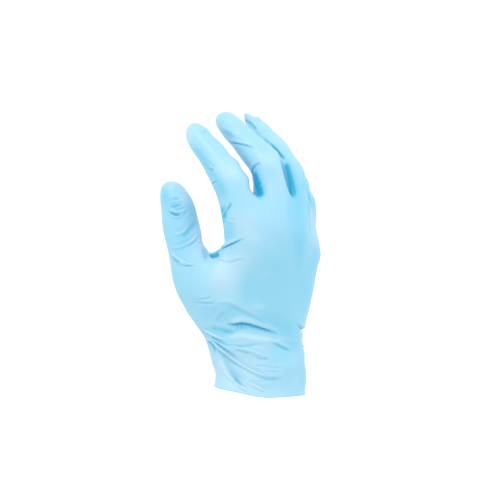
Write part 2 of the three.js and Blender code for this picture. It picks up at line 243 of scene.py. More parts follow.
def finger_joints(across, high, drop, bones, bends, splay):
    """The knuckle, two joints and the tip, by turning each bone on from the one before."""
    centre, front = palm_axis(CUFF_LENGTH + high * PALM_LENGTH)
    joints = [centre + front * PALM_ARCH * drop + np.array([across * PALM_WIDTH / 2, 0.0, 0.0])]
    lean, side = -WRIST_BEND, math.radians(splay)
    for bone, bend in zip(bones, bends):
        lean += bend
        a = math.radians(lean)
        turn = np.array([math.sin(side), math.sin(a) * math.cos(side), math.cos(a) * math.cos(side)])
        joints.append(joints[-1] + turn * bone * FINGER_LENGTH)
    return np.array(joints) * MM


def thumb_joints():
    """The thumb's centres, laid out in its own upright plane."""
    a = math.radians(THUMB_TURN)
    out = np.array([-math.cos(a), math.sin(a), 0.0])
    behind = np.array([math.sin(a), math.cos(a), 0.0])
    from_palm, from_cuff = THUMB_START
    rows = [
        out * (from_palm + away) + behind * back_by + np.array([0, 0, from_cuff + rise])
        for away, rise, back_by in THUMB
    ]
    return np.array(rows) * THUMB_LENGTH * MM


digits = {name: finger_joints(*row) for name, row in FINGERS.items()}
digits["thumb"] = thumb_joints()
for name, joints in digits.items():
    print(name, np.round(on_photo(joints)).astype(int).tolist())


# %% Which digit a point belongs to
ROOT_FADE = (0.25, 0.55)


def along_line(points, line, steps=16):
    """For each point: how far along the line its nearest point is (in joints) and how far off."""
    t = np.linspace(0, len(line) - 1, steps * (len(line) - 1) + 1)
    samples = np.stack([np.interp(t, np.arange(len(line)), line[:, k]) for k in range(3)], axis=1)
    best = np.full(len(points), np.inf)
    at = np.zeros(len(points))
    for place, sample in zip(t, samples):
        gap = np.linalg.norm(points - sample, axis=1)
        closer = gap < best
        best[closer] = gap[closer]
        at[closer] = place
    return at, best


def digit_masks(points):
    """For each digit 1 on its own sleeve, falling to 0 over ROOT_FADE of its first bone and on
    its neighbours; palm is what is left, and all is 1 everywhere."""
    lines = {name: along_line(points, joints) for name, joints in digits.items()}
    nearest = np.argmin([gap for _, gap in lines.values()], axis=0)
    masks = {}
    for k, (name, (at, _)) in enumerate(lines.items()):
        masks[name] = np.where(nearest == k, 1.0, 0.0) * smoothstep(*ROOT_FADE, at)
    masks["palm"] = 1.0 - sum(masks.values())
    masks["all"] = np.ones(len(points))
    return masks


# %% [markdown]
# Folds
#
# A worn film gathers where the glove bends and where it is too wide at the wrist: long slanting
# folds from the heel of the thumb across the wrist, a tuck in the cuff, short creases on the
# thumb's joint and in the webs. Cloth simulation could fold the film, but not in the very
# places where this one is folded. So each fold is drawn as a line on the picture, with a
# cross-section, and the film is pushed along its own normal by that section's height.

# %% Cross-sections of a fold, with s the distance from its line over its width
# a crease has two low banks beside it, and a pleat two shallow hollows
BANK_HEIGHT = 0.45
BANK_REACH = 6.8


def bell(s, reach=1.0):
    """A bell curve: e to the power of minus s squared over the reach, so 1 in the middle."""
    return np.exp(-(s * s) / reach)


def lap_section(s):
    """A low ridge that breaks off at the line, and a deep groove beyond it."""
    ridge = 0.55 * bell(s + 0.8, 2.2)
    groove = 0.75 * bell(s - 0.5)
    return np.where(s < 0, ridge, 0) - groove


# a step is high before its line and low beyond it, and dies away on both sides
SECTIONS = {
    "ridge": bell,
    "groove": lambda s: -bell(s),
    "crease": lambda s: BANK_HEIGHT * bell(s, BANK_REACH) - bell(s),
    "pleat": lambda s: bell(s) - BANK_HEIGHT * bell(s, BANK_REACH),
    "step": lambda s: -np.tanh(1.6 * s) * np.exp(-np.abs(s) / 2.6),
    "lap": lap_section,
}


# %% A smooth line, and the distance from it
def smooth_line(corners, steps=10):
    """A Catmull-Rom curve through the corners, as a row of points."""
    c = np.array(corners, dtype=float)
    c = np.vstack([2 * c[0] - c[1], c, 2 * c[-1] - c[-2]])
    t = np.linspace(0, 1, steps, endpoint=False)[:, None]
    rows = []
    for a, b, d, e in zip(c[:-3], c[1:-2], c[2:-1], c[3:]):
        slope = d - a
        bend = 2 * a - 5 * b + 4 * d - e
        twist = 3 * b - a - 3 * d + e
        rows.append(0.5 * (2 * b + slope * t + bend * t**2 + twist * t**3))
    return np.vstack(rows + [c[-2:-1]])


def distance_to(line, pixels):
    """Signed distance to a row of segments, positive on the right of its way, and the share
    of the line's length at the nearest place."""
    best = np.full(len(pixels), np.inf)
    side = np.zeros(len(pixels))
    place = np.zeros(len(pixels))
    lengths = np.linalg.norm(np.diff(line, axis=0), axis=1)
    starts = np.concatenate([[0], np.cumsum(lengths)])
    for k, (a, b) in enumerate(zip(line[:-1], line[1:])):
        step = b - a
        rel = pixels - a
        t = np.clip(rel @ step / (step @ step), 0, 1)
        gap = np.linalg.norm(rel - t[:, None] * step, axis=1)
        closer = gap < best
        best[closer] = gap[closer]
        cross = step[0] * rel[:, 1] - step[1] * rel[:, 0]
        side[closer] = np.sign(cross[closer])
        place[closer] = (starts[k] + t[closer] * lengths[k]) / starts[-1]
    return best * side, place


# %% The height of one fold
# a fold's share of its width at its ends, and the share of its depth that a lap is dragged by,
# with the place and the reach of that drag in widths
END_WIDTH = 0.45
LAP_DRAG = 0.45
LAP_DRAG_PLACE = -0.4
LAP_DRAG_REACH = 1.5


def fold_height(fold, places, across, upward):
    """Height in metres: section of distance over width, times depth, faded at both ends. A
    lap also drags its high side over its low side; a negative depth swaps the sides."""
    kind, _, width, depth, fade, corners = fold
    if depth < 0:
        corners = corners[::-1]
        fade = fade[::-1]
    line = smooth_line(corners)
    signed, place = distance_to(line, places)
    ends = smoothstep(0, fade[0], place) * smoothstep(0, fade[1], 1 - place)
    share = signed / (width * (END_WIDTH + (1 - END_WIDTH) * ends))
    height = SECTIONS[kind](share) * abs(depth) * ends * MM
    drag = np.zeros((len(places), 3))
    if kind == "lap":
        way = line[-1] - line[0]
        way /= np.linalg.norm(way)
        over = -way[1] * across - way[0] * upward
        amount = LAP_DRAG * abs(depth) * MM * ends * bell(share - LAP_DRAG_PLACE, LAP_DRAG_REACH)
        drag = amount[:, None] * over
    return height, drag


# %% [markdown]
# A fold of a real glove starts sharp and fades out, so each row gives how slowly both of its
# ends fade. The rows are chosen from the photograph, one group of folds at a time. Folds
# could be sculpted instead, but a row can be read, moved and compared with the picture again.

# %% Folds across the wrist: two laps, the pads under them and the arch above them
# section, digit, width in pixels, depth in mm, how slowly each end fades, corners in pixels
LAPS_AND_ARCH = [
    ("lap", "all", 2.2, 2.1, (0.25, 0.35),
     [(223, 324), (235, 322.6), (242, 321.6), (250, 323), (259, 325.6), (269, 329), (283, 335.5)]),
    ("ridge", "all", 3.0, 0.8, (0.3, 0.4),
     [(218, 339), (229, 338), (241, 335.5), (254, 338), (268, 340), (284, 343)]),
    ("groove", "all", 0.9, 0.8, (0.1, 0.5), [(241.2, 323), (241.6, 327.5), (241.8, 332)]),
    ("groove", "all", 0.9, 0.5, (0.1, 0.5), [(244.5, 324), (245, 327), (245.2, 330.5)]),
    ("groove", "all", 0.9, 0.5, (0.1, 0.5), [(238.2, 325), (237.8, 329), (238.2, 334)]),
    ("lap", "all", 1.7, 0.95, (0.3, 0.4),
     [(269, 341.6), (276, 343), (282, 345.8), (288, 348.8), (294, 352)]),
    ("groove", "all", 1.1, 0.6, (0.3, 0.4),
     [(222, 344.5), (232, 345.5), (243, 346.5), (256, 344.5), (268, 343)]),
    ("ridge", "all", 2.6, 0.35, (0.3, 0.3),
     [(204, 312), (212, 305), (223, 301), (233, 303), (247, 310), (259, 317), (272, 324)]),
    ("groove", "all", 1.9, 0.5, (0.4, 0.4),
     [(207, 312), (214, 306.5), (224, 304), (233, 307),
      (243, 312), (256, 318), (270, 325.5), (286, 332)]),
    ("ridge", "all", 2.6, 0.3, (0.4, 0.4), [(268, 333), (279, 338), (289, 340), (300, 340)]),
    ("ridge", "all", 1.1, 0.6, (0.3, 0.3), [(212, 321.5), (216, 316), (220, 311.5), (224, 308)]),
    ("ridge", "all", 1.1, 0.4, (0.3, 0.3), [(219, 322), (223, 317), (228, 313)]),
    ("groove", "all", 4.0, 0.4, (0.4, 0.4), [(214, 324), (222, 316), (230, 312)]),
    ("groove", "all", 2.4, 1.0, (0.2, 0.3), [(209, 328), (219, 330), (229, 332.5), (237, 333)]),
    ("crease", "all", 0.9, 0.6, (0.3, 0.3), [(211, 330.5), (219, 333.5), (228, 336)]),
]

# %% Slanting folds from the heel of the thumb down across the cuff
SLANTING = [
    ("pleat", "all", 1.0, 1.4, (0.05, 0.5),
     [(203, 329.5), (209, 333), (216, 336.6), (224, 339.6), (234, 342)]),
    ("groove", "all", 0.9, 0.8, (0.2, 0.4), [(209, 335.5), (216, 340), (223, 343.5), (231, 348)]),
    ("pleat", "all", 0.9, 0.8, (0.2, 0.4), [(210, 337.6), (218, 343), (226, 348), (235, 353.5)]),
    ("groove", "all", 0.95, 0.9, (0.2, 0.4),
     [(211, 340), (219, 346), (227, 351.5), (236, 357), (245, 361)]),
    ("pleat", "all", 0.95, 1.8, (0.1, 0.4),
     [(209.5, 339.5), (216.4, 345.7), (224, 352), (232, 358.7), (242, 365.3),
      (252, 371), (261, 374.5), (270, 376), (282, 374.5)]),
    ("groove", "all", 0.9, 0.6, (0.3, 0.4),
     [(213, 346), (220, 352.5), (228, 359), (237, 365.5), (246, 370)]),
    ("groove", "all", 1.6, 1.0, (0.4, 0.4),
     [(250, 373.5), (257, 376.8), (266, 379), (277, 379), (287, 376)]),
    ("groove", "all", 1.1, 0.8, (0.3, 0.3), [(234, 349.5), (243, 352), (252, 354.5)]),
    ("pleat", "all", 1.0, 0.8, (0.3, 0.4),
     [(236, 346.5), (248, 349.8), (258, 353.5), (265, 356), (271, 356)]),
    ("groove", "all", 1.0, 0.7, (0.3, 0.3), [(254, 357), (262, 359), (270, 358)]),
    ("crease", "all", 1.0, 0.6, (0.3, 0.4),
     [(250, 367), (257, 366.5), (265, 366), (275, 368), (287, 365.5)]),
    ("crease", "all", 0.95, 0.5, (0.3, 0.4), [(262, 371), (271, 372), (283, 370.5)]),
    ("crease", "all", 1.1, 0.5, (0.3, 0.4), [(253, 380.5), (265, 381.5), (277, 380)]),
]

# %% The tuck in the near left of the cuff
TUCK = [
    ("groove", "all", 1.2, 1.5, (0.1, 0.5), [(207.5, 341), (211.5, 345.5), (214.5, 350.5), (216, 356)]),
    ("step", "all", 2.4, -1.15, (0.3, 0.45),
     [(219.5, 353), (223.5, 362), (228, 371), (233.5, 379), (241, 386.5), (250, 392)]),
    ("pleat", "all", 0.95, 1.4, (0.3, 0.15),
     [(223, 369), (227.5, 374.8), (233, 380), (240.5, 386.5), (249, 391.5)]),
    ("pleat", "all", 1.0, 0.8, (0.2, 0.3), [(247, 382.5), (257, 387), (268, 392.5)]),
    ("groove", "all", 0.95, 0.7, (0.3, 0.4), [(233, 377.5), (238, 383), (243.5, 387)]),
    ("crease", "all", 1.0, 0.5, (0.3, 0.4), [(213, 361), (218, 368), (222, 376)]),
]

# %% Short folds at the edges, in the web and on the heel of the thumb
EDGES_AND_WEB = [
    ("groove", "all", 1.0, 0.8, (0.4, 0.02), [(294, 323.5), (298, 325.3), (302, 328), (306, 330)]),
    ("ridge", "all", 2.0, 0.5, (0.4, 0.02), [(296, 330), (301, 332), (306, 333.5)]),
    ("crease", "palm", 1.1, 0.9, (0.3, 0.4),
     [(189, 302), (197, 302.5), (205, 303), (215, 303), (225, 302)]),
    ("crease", "palm", 1.1, 0.8, (0.3, 0.3), [(191, 299.5), (199, 299.5), (206, 298.5), (214, 296)]),
    ("crease", "palm", 1.1, 1.1, (0.3, 0.3),
     [(213, 257.5), (219, 260), (228, 262), (237, 260), (248, 258)]),
    ("lap", "all", 1.05, 1.5, (0.05, 0.4),
     [(209, 256), (213, 252.8), (219, 248.8), (225, 245.6), (233, 242), (245, 237.3)]),
    ("groove", "all", 1.9, 1.5, (0.2, 0.4), [(210, 256), (214, 255.5), (220, 253)]),
    ("crease", "all", 0.95, 0.7, (0.3, 0.4), [(221, 263), (230, 264), (239, 262.5)]),
    ("pleat", "all", 1.2, 1.1, (0.2, 0.3),
     [(169.5, 251), (174, 255.5), (179.5, 260), (185, 263.4), (195, 266)]),
    ("groove", "all", 1.1, 0.8, (0.2, 0.3), [(171, 256.5), (175.5, 261), (181, 264)]),
    ("crease", "all", 1.0, 0.9, (0.2, 0.3), [(174, 264.6), (182, 265.6), (189, 266), (197, 266.3)]),
    ("groove", "all", 2.0, 0.4, (0.3, 0.3), [(203, 246), (205, 254), (207.5, 263)]),
]

# %% Creases of the thumb's joint and sleeve
THUMB_CREASES = [
    ("groove", "thumb", 1.05, 1.0, (0.25, 0.3),
     [(169.5, 207.6), (174, 206.4), (180, 205.4), (184, 204)]),
    ("pleat", "thumb", 0.95, 0.9, (0.3, 0.3),
     [(168, 206), (170.5, 203), (174, 201.6), (180, 201), (185, 200)]),
    ("groove", "thumb", 0.9, 0.6, (0.3, 0.3), [(171, 199.4), (176, 198.6), (181, 198.4)]),
    ("pleat", "thumb", 0.95, 0.9, (0.25, 0.3),
     [(167.5, 207.5), (172, 211), (179, 212.2), (185, 210), (189, 207.5)]),
    ("groove", "thumb", 1.0, 1.0, (0.25, 0.3), [(168, 211), (172, 213.4), (177, 214.6), (182, 213.6)]),
    ("pleat", "thumb", 1.0, 0.9, (0.3, 0.3), [(169.5, 214.4), (174, 217), (179, 217), (184, 215)]),
    ("crease", "thumb", 0.9, 0.6, (0.3, 0.3), [(174, 208.8), (180, 209.2), (186, 206)]),
    ("crease", "thumb", 0.95, 0.6, (0.3, 0.3), [(181, 217), (185.5, 214), (188.5, 210)]),
    ("pleat", "thumb", 1.1, 0.8, (0.3, 0.3),
     [(170, 234.5), (180, 233.5), (186, 229.5), (190.5, 223.5)]),
    ("groove", "thumb", 2.6, 0.6, (0.3, 0.3), [(180, 239), (187, 234), (193, 227), (197, 219)]),
    ("pleat", "all", 1.2, 1.0, (0.25, 0.3),
     [(167, 246.5), (177, 247.5), (186, 244.5), (193.5, 239.5), (200, 231.5)]),
    ("crease", "all", 0.95, 0.6, (0.3, 0.3), [(188, 246), (194, 242.5), (199, 237)]),
]

# %% Folds of the fingers
FINGER_FOLDS = [
    ("ridge", "index", 3.0, 0.3, (0.3, 0.4),
     [(190, 141), (202, 151), (210, 161), (217, 173), (222, 186)]),
    ("pleat", "index", 1.0, 0.9, (0.2, 0.3), [(206, 165.5), (211, 167.5), (216, 169.5)]),
    ("crease", "index", 1.0, 1.0, (0.1, 0.4), [(211, 185), (214, 182.8), (219, 181)]),
    ("pleat", "all", 0.95, 1.1, (0.2, 0.3), [(221.5, 218), (224, 212), (227.5, 206), (232, 200)]),
    ("groove", "all", 1.6, 1.0, (0.3, 0.3), [(226.5, 211), (228.5, 207), (231.5, 202.5)]),
    ("pleat", "all", 0.95, 0.9, (0.1, 0.3), [(222.5, 219), (228, 221), (233, 221.8), (237, 223.5)]),
    ("pleat", "index", 0.95, 0.9, (0.2, 0.3), [(204.5, 161), (209.5, 165), (215, 171)]),
    ("groove", "index", 3.0, 0.6, (0.4, 0.4), [(203.5, 129), (206, 134)]),
    ("ridge", "middle", 2.2, 0.4, (0.3, 0.3), [(218, 126), (227, 129), (234, 133.5), (240, 139)]),
    ("groove", "middle", 3.0, 0.4, (0.4, 0.4), [(222, 132), (229, 136), (235, 140)]),
    ("crease", "middle", 1.0, 1.25, (0.05, 0.4),
     [(230, 142.2), (236, 143.4), (244, 145), (256, 147.6)]),
    ("crease", "middle", 0.95, 1.15, (0.1, 0.3),
     [(251.5, 174), (252.5, 169), (255.5, 165), (261, 161.5)]),
    ("pleat", "middle", 0.9, 0.6, (0.3, 0.3), [(257.5, 191.5), (261, 186), (264.5, 181)]),
    ("groove", "ring", 1.3, 1.2, (0.2, 0.2), [(243, 120), (250, 124), (257, 131)]),
    ("groove", "ring", 1.6, 0.8, (0.3, 0.3), [(268, 141), (276, 150), (283, 157), (290, 162)]),
    ("groove", "all", 1.0, 0.45, (0.2, 0.3), [(308.5, 189), (309, 205), (309.5, 222), (310.5, 242)]),
]
PICTURE_FOLDS = LAPS_AND_ARCH + SLANTING + TUCK + EDGES_AND_WEB + THUMB_CREASES + FINGER_FOLDS
print("folds on the picture:", len(PICTURE_FOLDS))

# %% [markdown]
# The photograph shows one side only. The others are finished as such a glove is: it gathers
# inside each joint that bends, along the creases of the palm, and all round the wrist. Their
# folds could be mirrored from the side that shows, but they would look copied. They are drawn in
# millimetres, on a flat map seen from the palm's side and on one rolled round the wrist.

# %% Folds of the palm and of the insides of the fingers
PALM_AZIMUTH = 138.0
# section, digit, width and depth in mm, how slowly each end fades, corners across and down in mm
PALM_FOLDS = [
    ("crease", "palm", 1.7, 1.0, (0.3, 0.4), [(19, -107), (12, -99), (7, -88), (7, -76), (13, -63)]),
    ("crease", "palm", 1.5, 0.7, (0.3, 0.3), [(-33, -94), (-22, -96), (-9, -101), (7, -109)]),
    ("crease", "palm", 1.4, 0.6, (0.3, 0.3), [(-30, -103), (-20, -107), (-10, -113)]),
    ("pleat", "palm", 1.3, 0.8, (0.2, 0.4), [(25, -100), (19, -95), (14, -91)]),
    ("pleat", "palm", 1.3, 0.8, (0.2, 0.4), [(30, -96), (22, -88), (17, -80), (15, -72)]),
    ("groove", "palm", 2.0, 0.7, (0.3, 0.4), [(33, -92), (28, -82), (24, -72)]),
    ("pleat", "all", 1.4, 0.8, (0.4, 0.4), [(-28, -66), (-18, -62), (-6, -61), (6, -56)]),
    ("crease", "index", 1.2, 1.2, (0.3, 0.3), [(11, -155), (18, -152.5), (26, -148)]),
    ("pleat", "index", 1.2, 0.6, (0.3, 0.3), [(9, -148), (15, -147), (22, -143)]),
    ("crease", "index", 1.1, 0.9, (0.3, 0.3), [(29, -175), (34, -171), (40, -166.5)]),
    ("crease", "index", 1.1, 0.8, (0.3, 0.3), [(8, -137), (13, -134), (19, -133)]),
    ("crease", "middle", 1.2, 1.2, (0.3, 0.3), [(-10, -161.5), (-4, -158), (3, -154)]),
    ("pleat", "middle", 1.1, 0.6, (0.3, 0.3), [(-9, -153), (-4, -151.5), (2, -148.5)]),
    ("crease", "middle", 1.1, 0.9, (0.3, 0.3), [(7, -183), (12, -178.5), (18, -174)]),
    ("crease", "ring", 1.1, 0.9, (0.3, 0.3), [(-13, -180), (-8, -175), (-2, -170.5)]),
    ("crease", "ring", 1.2, 1.1, (0.3, 0.3), [(-27, -160), (-21, -156), (-15, -153)]),
    ("crease", "little", 1.2, 1.1, (0.3, 0.3), [(-37, -143), (-31, -140.5), (-25, -140)]),
    ("crease", "little", 1.1, 0.9, (0.3, 0.3), [(-26, -157), (-21, -152), (-17, -147)]),
    ("pleat", "little", 1.1, 0.7, (0.3, 0.3), [(-38, -134), (-33, -132), (-27, -133)]),
    ("crease", "thumb", 1.2, 1.1, (0.3, 0.3), [(45, -125), (52, -122), (61, -119)]),
    ("pleat", "thumb", 1.2, 0.7, (0.3, 0.3), [(44, -117), (51, -114.5), (59, -113)]),
    ("crease", "all", 1.4, 1.0, (0.3, 0.3), [(38, -103), (45, -99), (55, -95)]),
]

# %% Folds round the wrist and the cuff
WRIST_RADIUS = 30.0
# as above, with corners in degrees round the wrist from the picture's middle and in mm down;
# 90 is the little finger's side, 180 the palm's and 270 the thumb's
WRIST_FOLDS = [
    ("lap", "all", 1.7, 1.9, (0.08, 0.1),
     [(77, -46), (92, -45), (112, -43.5), (140, -44.5), (170, -43),
      (204, -44), (232, -46), (262, -44), (292, -40)]),
    ("ridge", "all", 2.6, 1.0, (0.2, 0.2),
     [(80, -39), (120, -38), (158, -39), (200, -37.5), (240, -39), (275, -36)]),
    ("lap", "all", 1.5, 1.2, (0.3, 0.3), [(104, -51.5), (130, -52), (160, -50), (190, -51.5)]),
    ("groove", "all", 1.6, 0.8, (0.3, 0.3), [(210, -54), (232, -56), (258, -54)]),
    ("pleat", "all", 1.4, 1.3, (0.3, 0.3), [(148, -35), (175, -31), (205, -27), (238, -25)]),
    ("pleat", "all", 1.3, 1.2, (0.3, 0.3), [(214, -38), (234, -33), (255, -27), (272, -20)]),
    ("lap", "all", 1.4, 1.3, (0.3, 0.3), [(96, -33), (114, -29.5), (138, -27.5), (166, -29)]),
    ("pleat", "all", 1.3, 0.9, (0.3, 0.3), [(155, -19), (180, -15), (206, -15.5), (232, -19)]),
    ("groove", "all", 1.4, 1.0, (0.3, 0.3), [(94, -22), (110, -19), (130, -18), (150, -21)]),
    ("pleat", "all", 1.2, 1.0, (0.3, 0.3), [(246, -12), (272, -16), (296, -22)]),
    ("crease", "all", 1.2, 0.8, (0.3, 0.3), [(96, -12), (112, -9), (134, -10)]),
    ("groove", "all", 1.4, 1.1, (0.02, 0.4), [(118, 4), (121, -4), (127, -11)]),
    ("groove", "all", 1.3, 0.9, (0.02, 0.4), [(207, 3), (209, -5), (205, -12)]),
    ("ridge", "all", 1.6, 0.7, (0.02, 0.4), [(168, 3), (166, -4), (169, -10)]),
    ("groove", "all", 1.3, 0.9, (0.02, 0.4), [(262, 1), (258, -6), (250, -10)]),
]
print("folds of the other sides:", len(PALM_FOLDS) + len(WRIST_FOLDS))

# %% The three maps that the folds are drawn on
# how far a point must face the map's viewer for a fold to start and to be whole
PICTURE_FACING = (-0.05, 0.25)
PALM_FACING = (0.1, 0.45)
# the wrist's map starts between these degrees from the picture's middle, and ends at these heights
WRIST_MAP_START = (58, 80)
WRIST_MAP_TOP = (70 * MM, 60 * MM)
UPWARD = np.array([0.0, 0.0, 1.0])
palm_right, _, palm_back = camera_axes(PALM_AZIMUTH, 0.0)


def on_palm(points):
    """Millimetres across and down, seen straight at the palm's side."""
    return np.stack([points @ palm_right, -points[:, 2]], axis=1) / MM


def round_wrist(points):
    """Millimetres round the wrist from the picture's middle, angle times radius, and down."""
    turn = np.degrees(np.arctan2(points[:, 0], -points[:, 1])) - PHOTO_AZIMUTH
    return np.stack([np.radians(turn % 360.0) * WRIST_RADIUS, -points[:, 2] / MM], axis=1)


def fold_maps(points, normals):
    """For each map: its folds, the points' places on it, its directions and their weight."""
    tangent = np.cross(UPWARD, points * np.array([1.0, 1.0, 0.0]))
    tangent /= np.linalg.norm(tangent, axis=1)[:, None]
    places = round_wrist(points)
    turn = np.degrees(places[:, 0] / WRIST_RADIUS)
    behind = smoothstep(*WRIST_MAP_START, turn) * smoothstep(*WRIST_MAP_START, 360 - turn)
    low = smoothstep(*WRIST_MAP_TOP, points[:, 2])
    in_picture = smoothstep(*PICTURE_FACING, normals @ back)
    on_side = smoothstep(*PALM_FACING, normals @ palm_back)
    mm_round = np.array([math.radians(WRIST_RADIUS), 1.0])
    rolled = [fold[:5] + (np.array(fold[5]) * mm_round,) for fold in WRIST_FOLDS]
    return [
        (PICTURE_FOLDS, on_photo(points), right, up, in_picture),
        (PALM_FOLDS, on_palm(points), palm_right, UPWARD, on_side),
        (rolled, places, tangent, UPWARD, behind * low),
    ]


# %% [markdown]
# Fitting the outline
#
# A worn glove isn't as even as the solid: it bags at the knuckles and pulls in beside them. In the
# viewport this would be a few strokes of the grab brush. Here each stroke has a place and a
# reach on the picture, and it drags the film sideways and down by a soft bell curve. Numbers
# can be made a little larger or smaller after each look at the render, and a brush can't.

# %% Strokes of the grab brush, in pixels of the picture
# digit, where across and down, reach, drag across and down
GRABS = [
    ("index", 246, 178, 9, 4.2, -1.0),
    ("index", 237, 162, 7, 1.8, -1.6),
    ("index", 222, 144, 10, 1.5, -1.3),
    ("index", 208, 129, 6, 0.6, -0.9),
    ("index", 186, 132, 9, 1.1, 0.8),
    ("index", 200, 160, 12, 0.9, -0.2),
    ("all", 221, 228, 13, -4.2, 0.0),
    ("all", 221, 249, 5, -0.5, -5.0),
    ("all", 217, 252, 4, 0.0, -3.0),
    ("all", 209, 253, 4.5, 0.0, 4.0),
    ("thumb", 196, 222, 10, -0.6, 0.0),
    ("all", 207, 243, 9, -3.0, 0.6),
    ("thumb", 164, 186, 9, -1.2, -2.0),
    ("thumb", 161, 210, 9, 0.8, 0.0),
    ("thumb", 182, 190, 9, -1.0, 0.6),
    ("all", 168, 250, 18, 1.4, 0.0),
    ("palm", 182, 305, 9, 0.9, -0.4),
    ("palm", 198, 328, 8, -1.8, 1.2),
    ("all", 211, 364, 12, -2.2, 0.0),
    ("all", 212, 383, 6, -1.8, 0.0),
    ("all", 306, 379, 14, 2.2, 0.0),
    ("all", 305, 352, 7, -1.3, 0.0),
    ("palm", 320, 256, 8, 1.8, 0.0),
    ("palm", 319, 228, 14, -2.2, 0.0),
    ("all", 312, 189, 8, -3.2, 1.5),
    ("ring", 296, 154, 12, -2.2, 1.6),
    ("ring", 272, 128, 12, -1.2, 1.4),
    ("ring", 248, 119, 5, -3.0, -5.0),
    ("ring", 262, 119, 6, 0.4, 3.4),
    ("ring", 254, 114, 3.5, 0.5, 2.4),
    ("middle", 277, 152, 8, 2.8, -1.0),
    ("middle", 250, 172, 8, 1.6, 0.0),
    ("middle", 231, 147, 6, 0.8, 0.0),
    ("middle", 222, 112, 8, 0.6, 1.0),
]


print("strokes that drag:", len(GRABS))


def grab(points):
    """Points moved across and down the picture by each stroke's bell curve."""
    masks = digit_masks(points)
    pixels = on_photo(points)
    scale = PHOTO_WIDTH / PHOTO_PIXELS
    moved = points.copy()
    for digit, x, y, reach, across, down in GRABS:
        far = np.linalg.norm(pixels - np.array([x, y]), axis=1) / reach
        pull = (np.exp(-far * far) * masks[digit] * scale)[:, None]
        moved += pull * (across * right - down * up)
    return moved


# %% [markdown]
# The film is stretched over the knuckles and sinks a little between them, too broadly for a
# line. The inflate brush would do that too. Here a few broad bell curves lift the film along
# its own normal, and the cuff's edge, which isn't level, is raised where the picture shows it.

# %% Strokes of the inflate brush
SWELL_FACING = (0.0, 0.4)
# digit, where across and down, reach across and down, how far out in mm
SWELLS = [
    ("all", 268, 234, 34, 10, -1.3),
    ("all", 270, 262, 30, 12, 0.7),
    ("all", 246, 214, 9, 9, 0.5),
    ("all", 276, 207, 9, 9, 0.6),
    ("all", 300, 212, 8, 12, 0.5),
    ("all", 288, 222, 4, 16, -0.5),
    ("all", 222, 274, 12, 12, 0.8),
    ("index", 222, 163, 8, 8, 0.5),
    ("middle", 262, 158, 8, 8, 0.5),
]


def square_distance(pixels, x, y, wide, high):
    """How far pixels are from a place, in reaches across and down, squared."""
    return ((pixels[:, 0] - x) / wide) ** 2 + ((pixels[:, 1] - y) / high) ** 2


def swell(points, normals):
    """Points moved along their normals by broad bell curves, where they face the camera."""
    masks = digit_masks(points)
    pixels = on_photo(points)
    height = np.zeros(len(points))
    for digit, x, y, wide, high, out in SWELLS:
        far = square_distance(pixels, x, y, wide, high)
        height += out * MM * np.exp(-far) * masks[digit]
    return points + normals * (height * smoothstep(*SWELL_FACING, normals @ back))[:, None]


# %% The cuff's edge
# how far towards the camera the raise starts and is whole, and how far up the cuff it ends
RIM_NEAR = (-12 * MM, 12 * MM)
RIM_FADE = 22 * MM
# where across the picture, and how far the edge is raised there, in pixels
RIM_RAISED = [
    (213, 4.2),
    (222, 4.4),
    (232, 4.0),
    (243, 2.6),
    (254, 1.0),
    (268, 0.2),
    (285, 1.4),
    (300, 1.8),
    (306, 1.2),
]


def raise_rim(points):
    """The cuff's edge lifted by RIM_RAISED across the picture, fading up the cuff."""
    pixels = on_photo(points)
    table = np.array(RIM_RAISED)
    lift = np.interp(pixels[:, 0], table[:, 0], table[:, 1]) * PHOTO_WIDTH / PHOTO_PIXELS
    near = smoothstep(*RIM_NEAR, points @ back)
    low = 1 - smoothstep(0.0, RIM_FADE, points[:, 2])
    moved = points.copy()
    moved[:, 2] += lift * near * low
    return moved


# %% Pushing the film out and in
# how far beyond a fold's corners it can still move the film, in its map's units
FOLD_MARGIN = 16


def within(places, corners, margin):
    """Which places lie in the corners' box, grown by a margin."""
    return np.all((places > corners.min(0) - margin) & (places < corners.max(0) + margin), axis=1)


def fold_film(points, normals):
    """New points, each moved along its normal and dragged by all folds, and the moves' heights."""
    masks = digit_masks(points)
    height = np.zeros(len(points))
    drag = np.zeros_like(points)
    for folds, places, across, upward, weight in fold_maps(points, normals):
        for fold in folds:
            near = within(places, np.array(fold[5]), FOLD_MARGIN) & (weight > 0)
            if not near.any():
                continue
            share = masks[fold[1]][near] * weight[near]
            sideways = across[near] if across.ndim == 2 else across
            fold_up, fold_over = fold_height(fold, places[near], sideways, upward)
            height[near] += fold_up * share
            drag[near] += fold_over * share[:, None]
    return points + normals * height[:, None] + drag, height


# %% [markdown]
# A finer mesh where the folds are
#
# The film needs points half a millimetre apart to hold a crease, but a whole glove that fine
# would be a heavy mesh. Multiresolution sculpting would have that fault. Here only the faces
# near a fold are split once more.

# %% Splitting faces near the folds
# the mesh is fine up to so many widths from a fold, in the picture and on the other sides, and
# at most to the reach; points outside the margin or of less weight aren't looked at
FINE_WIDTHS = 3.2
FINE_WIDTHS_ELSEWHERE = 0.35 * FINE_WIDTHS
FINE_REACH = 6.5
FINE_MARGIN = 10
FINE_WEIGHT = 0.1


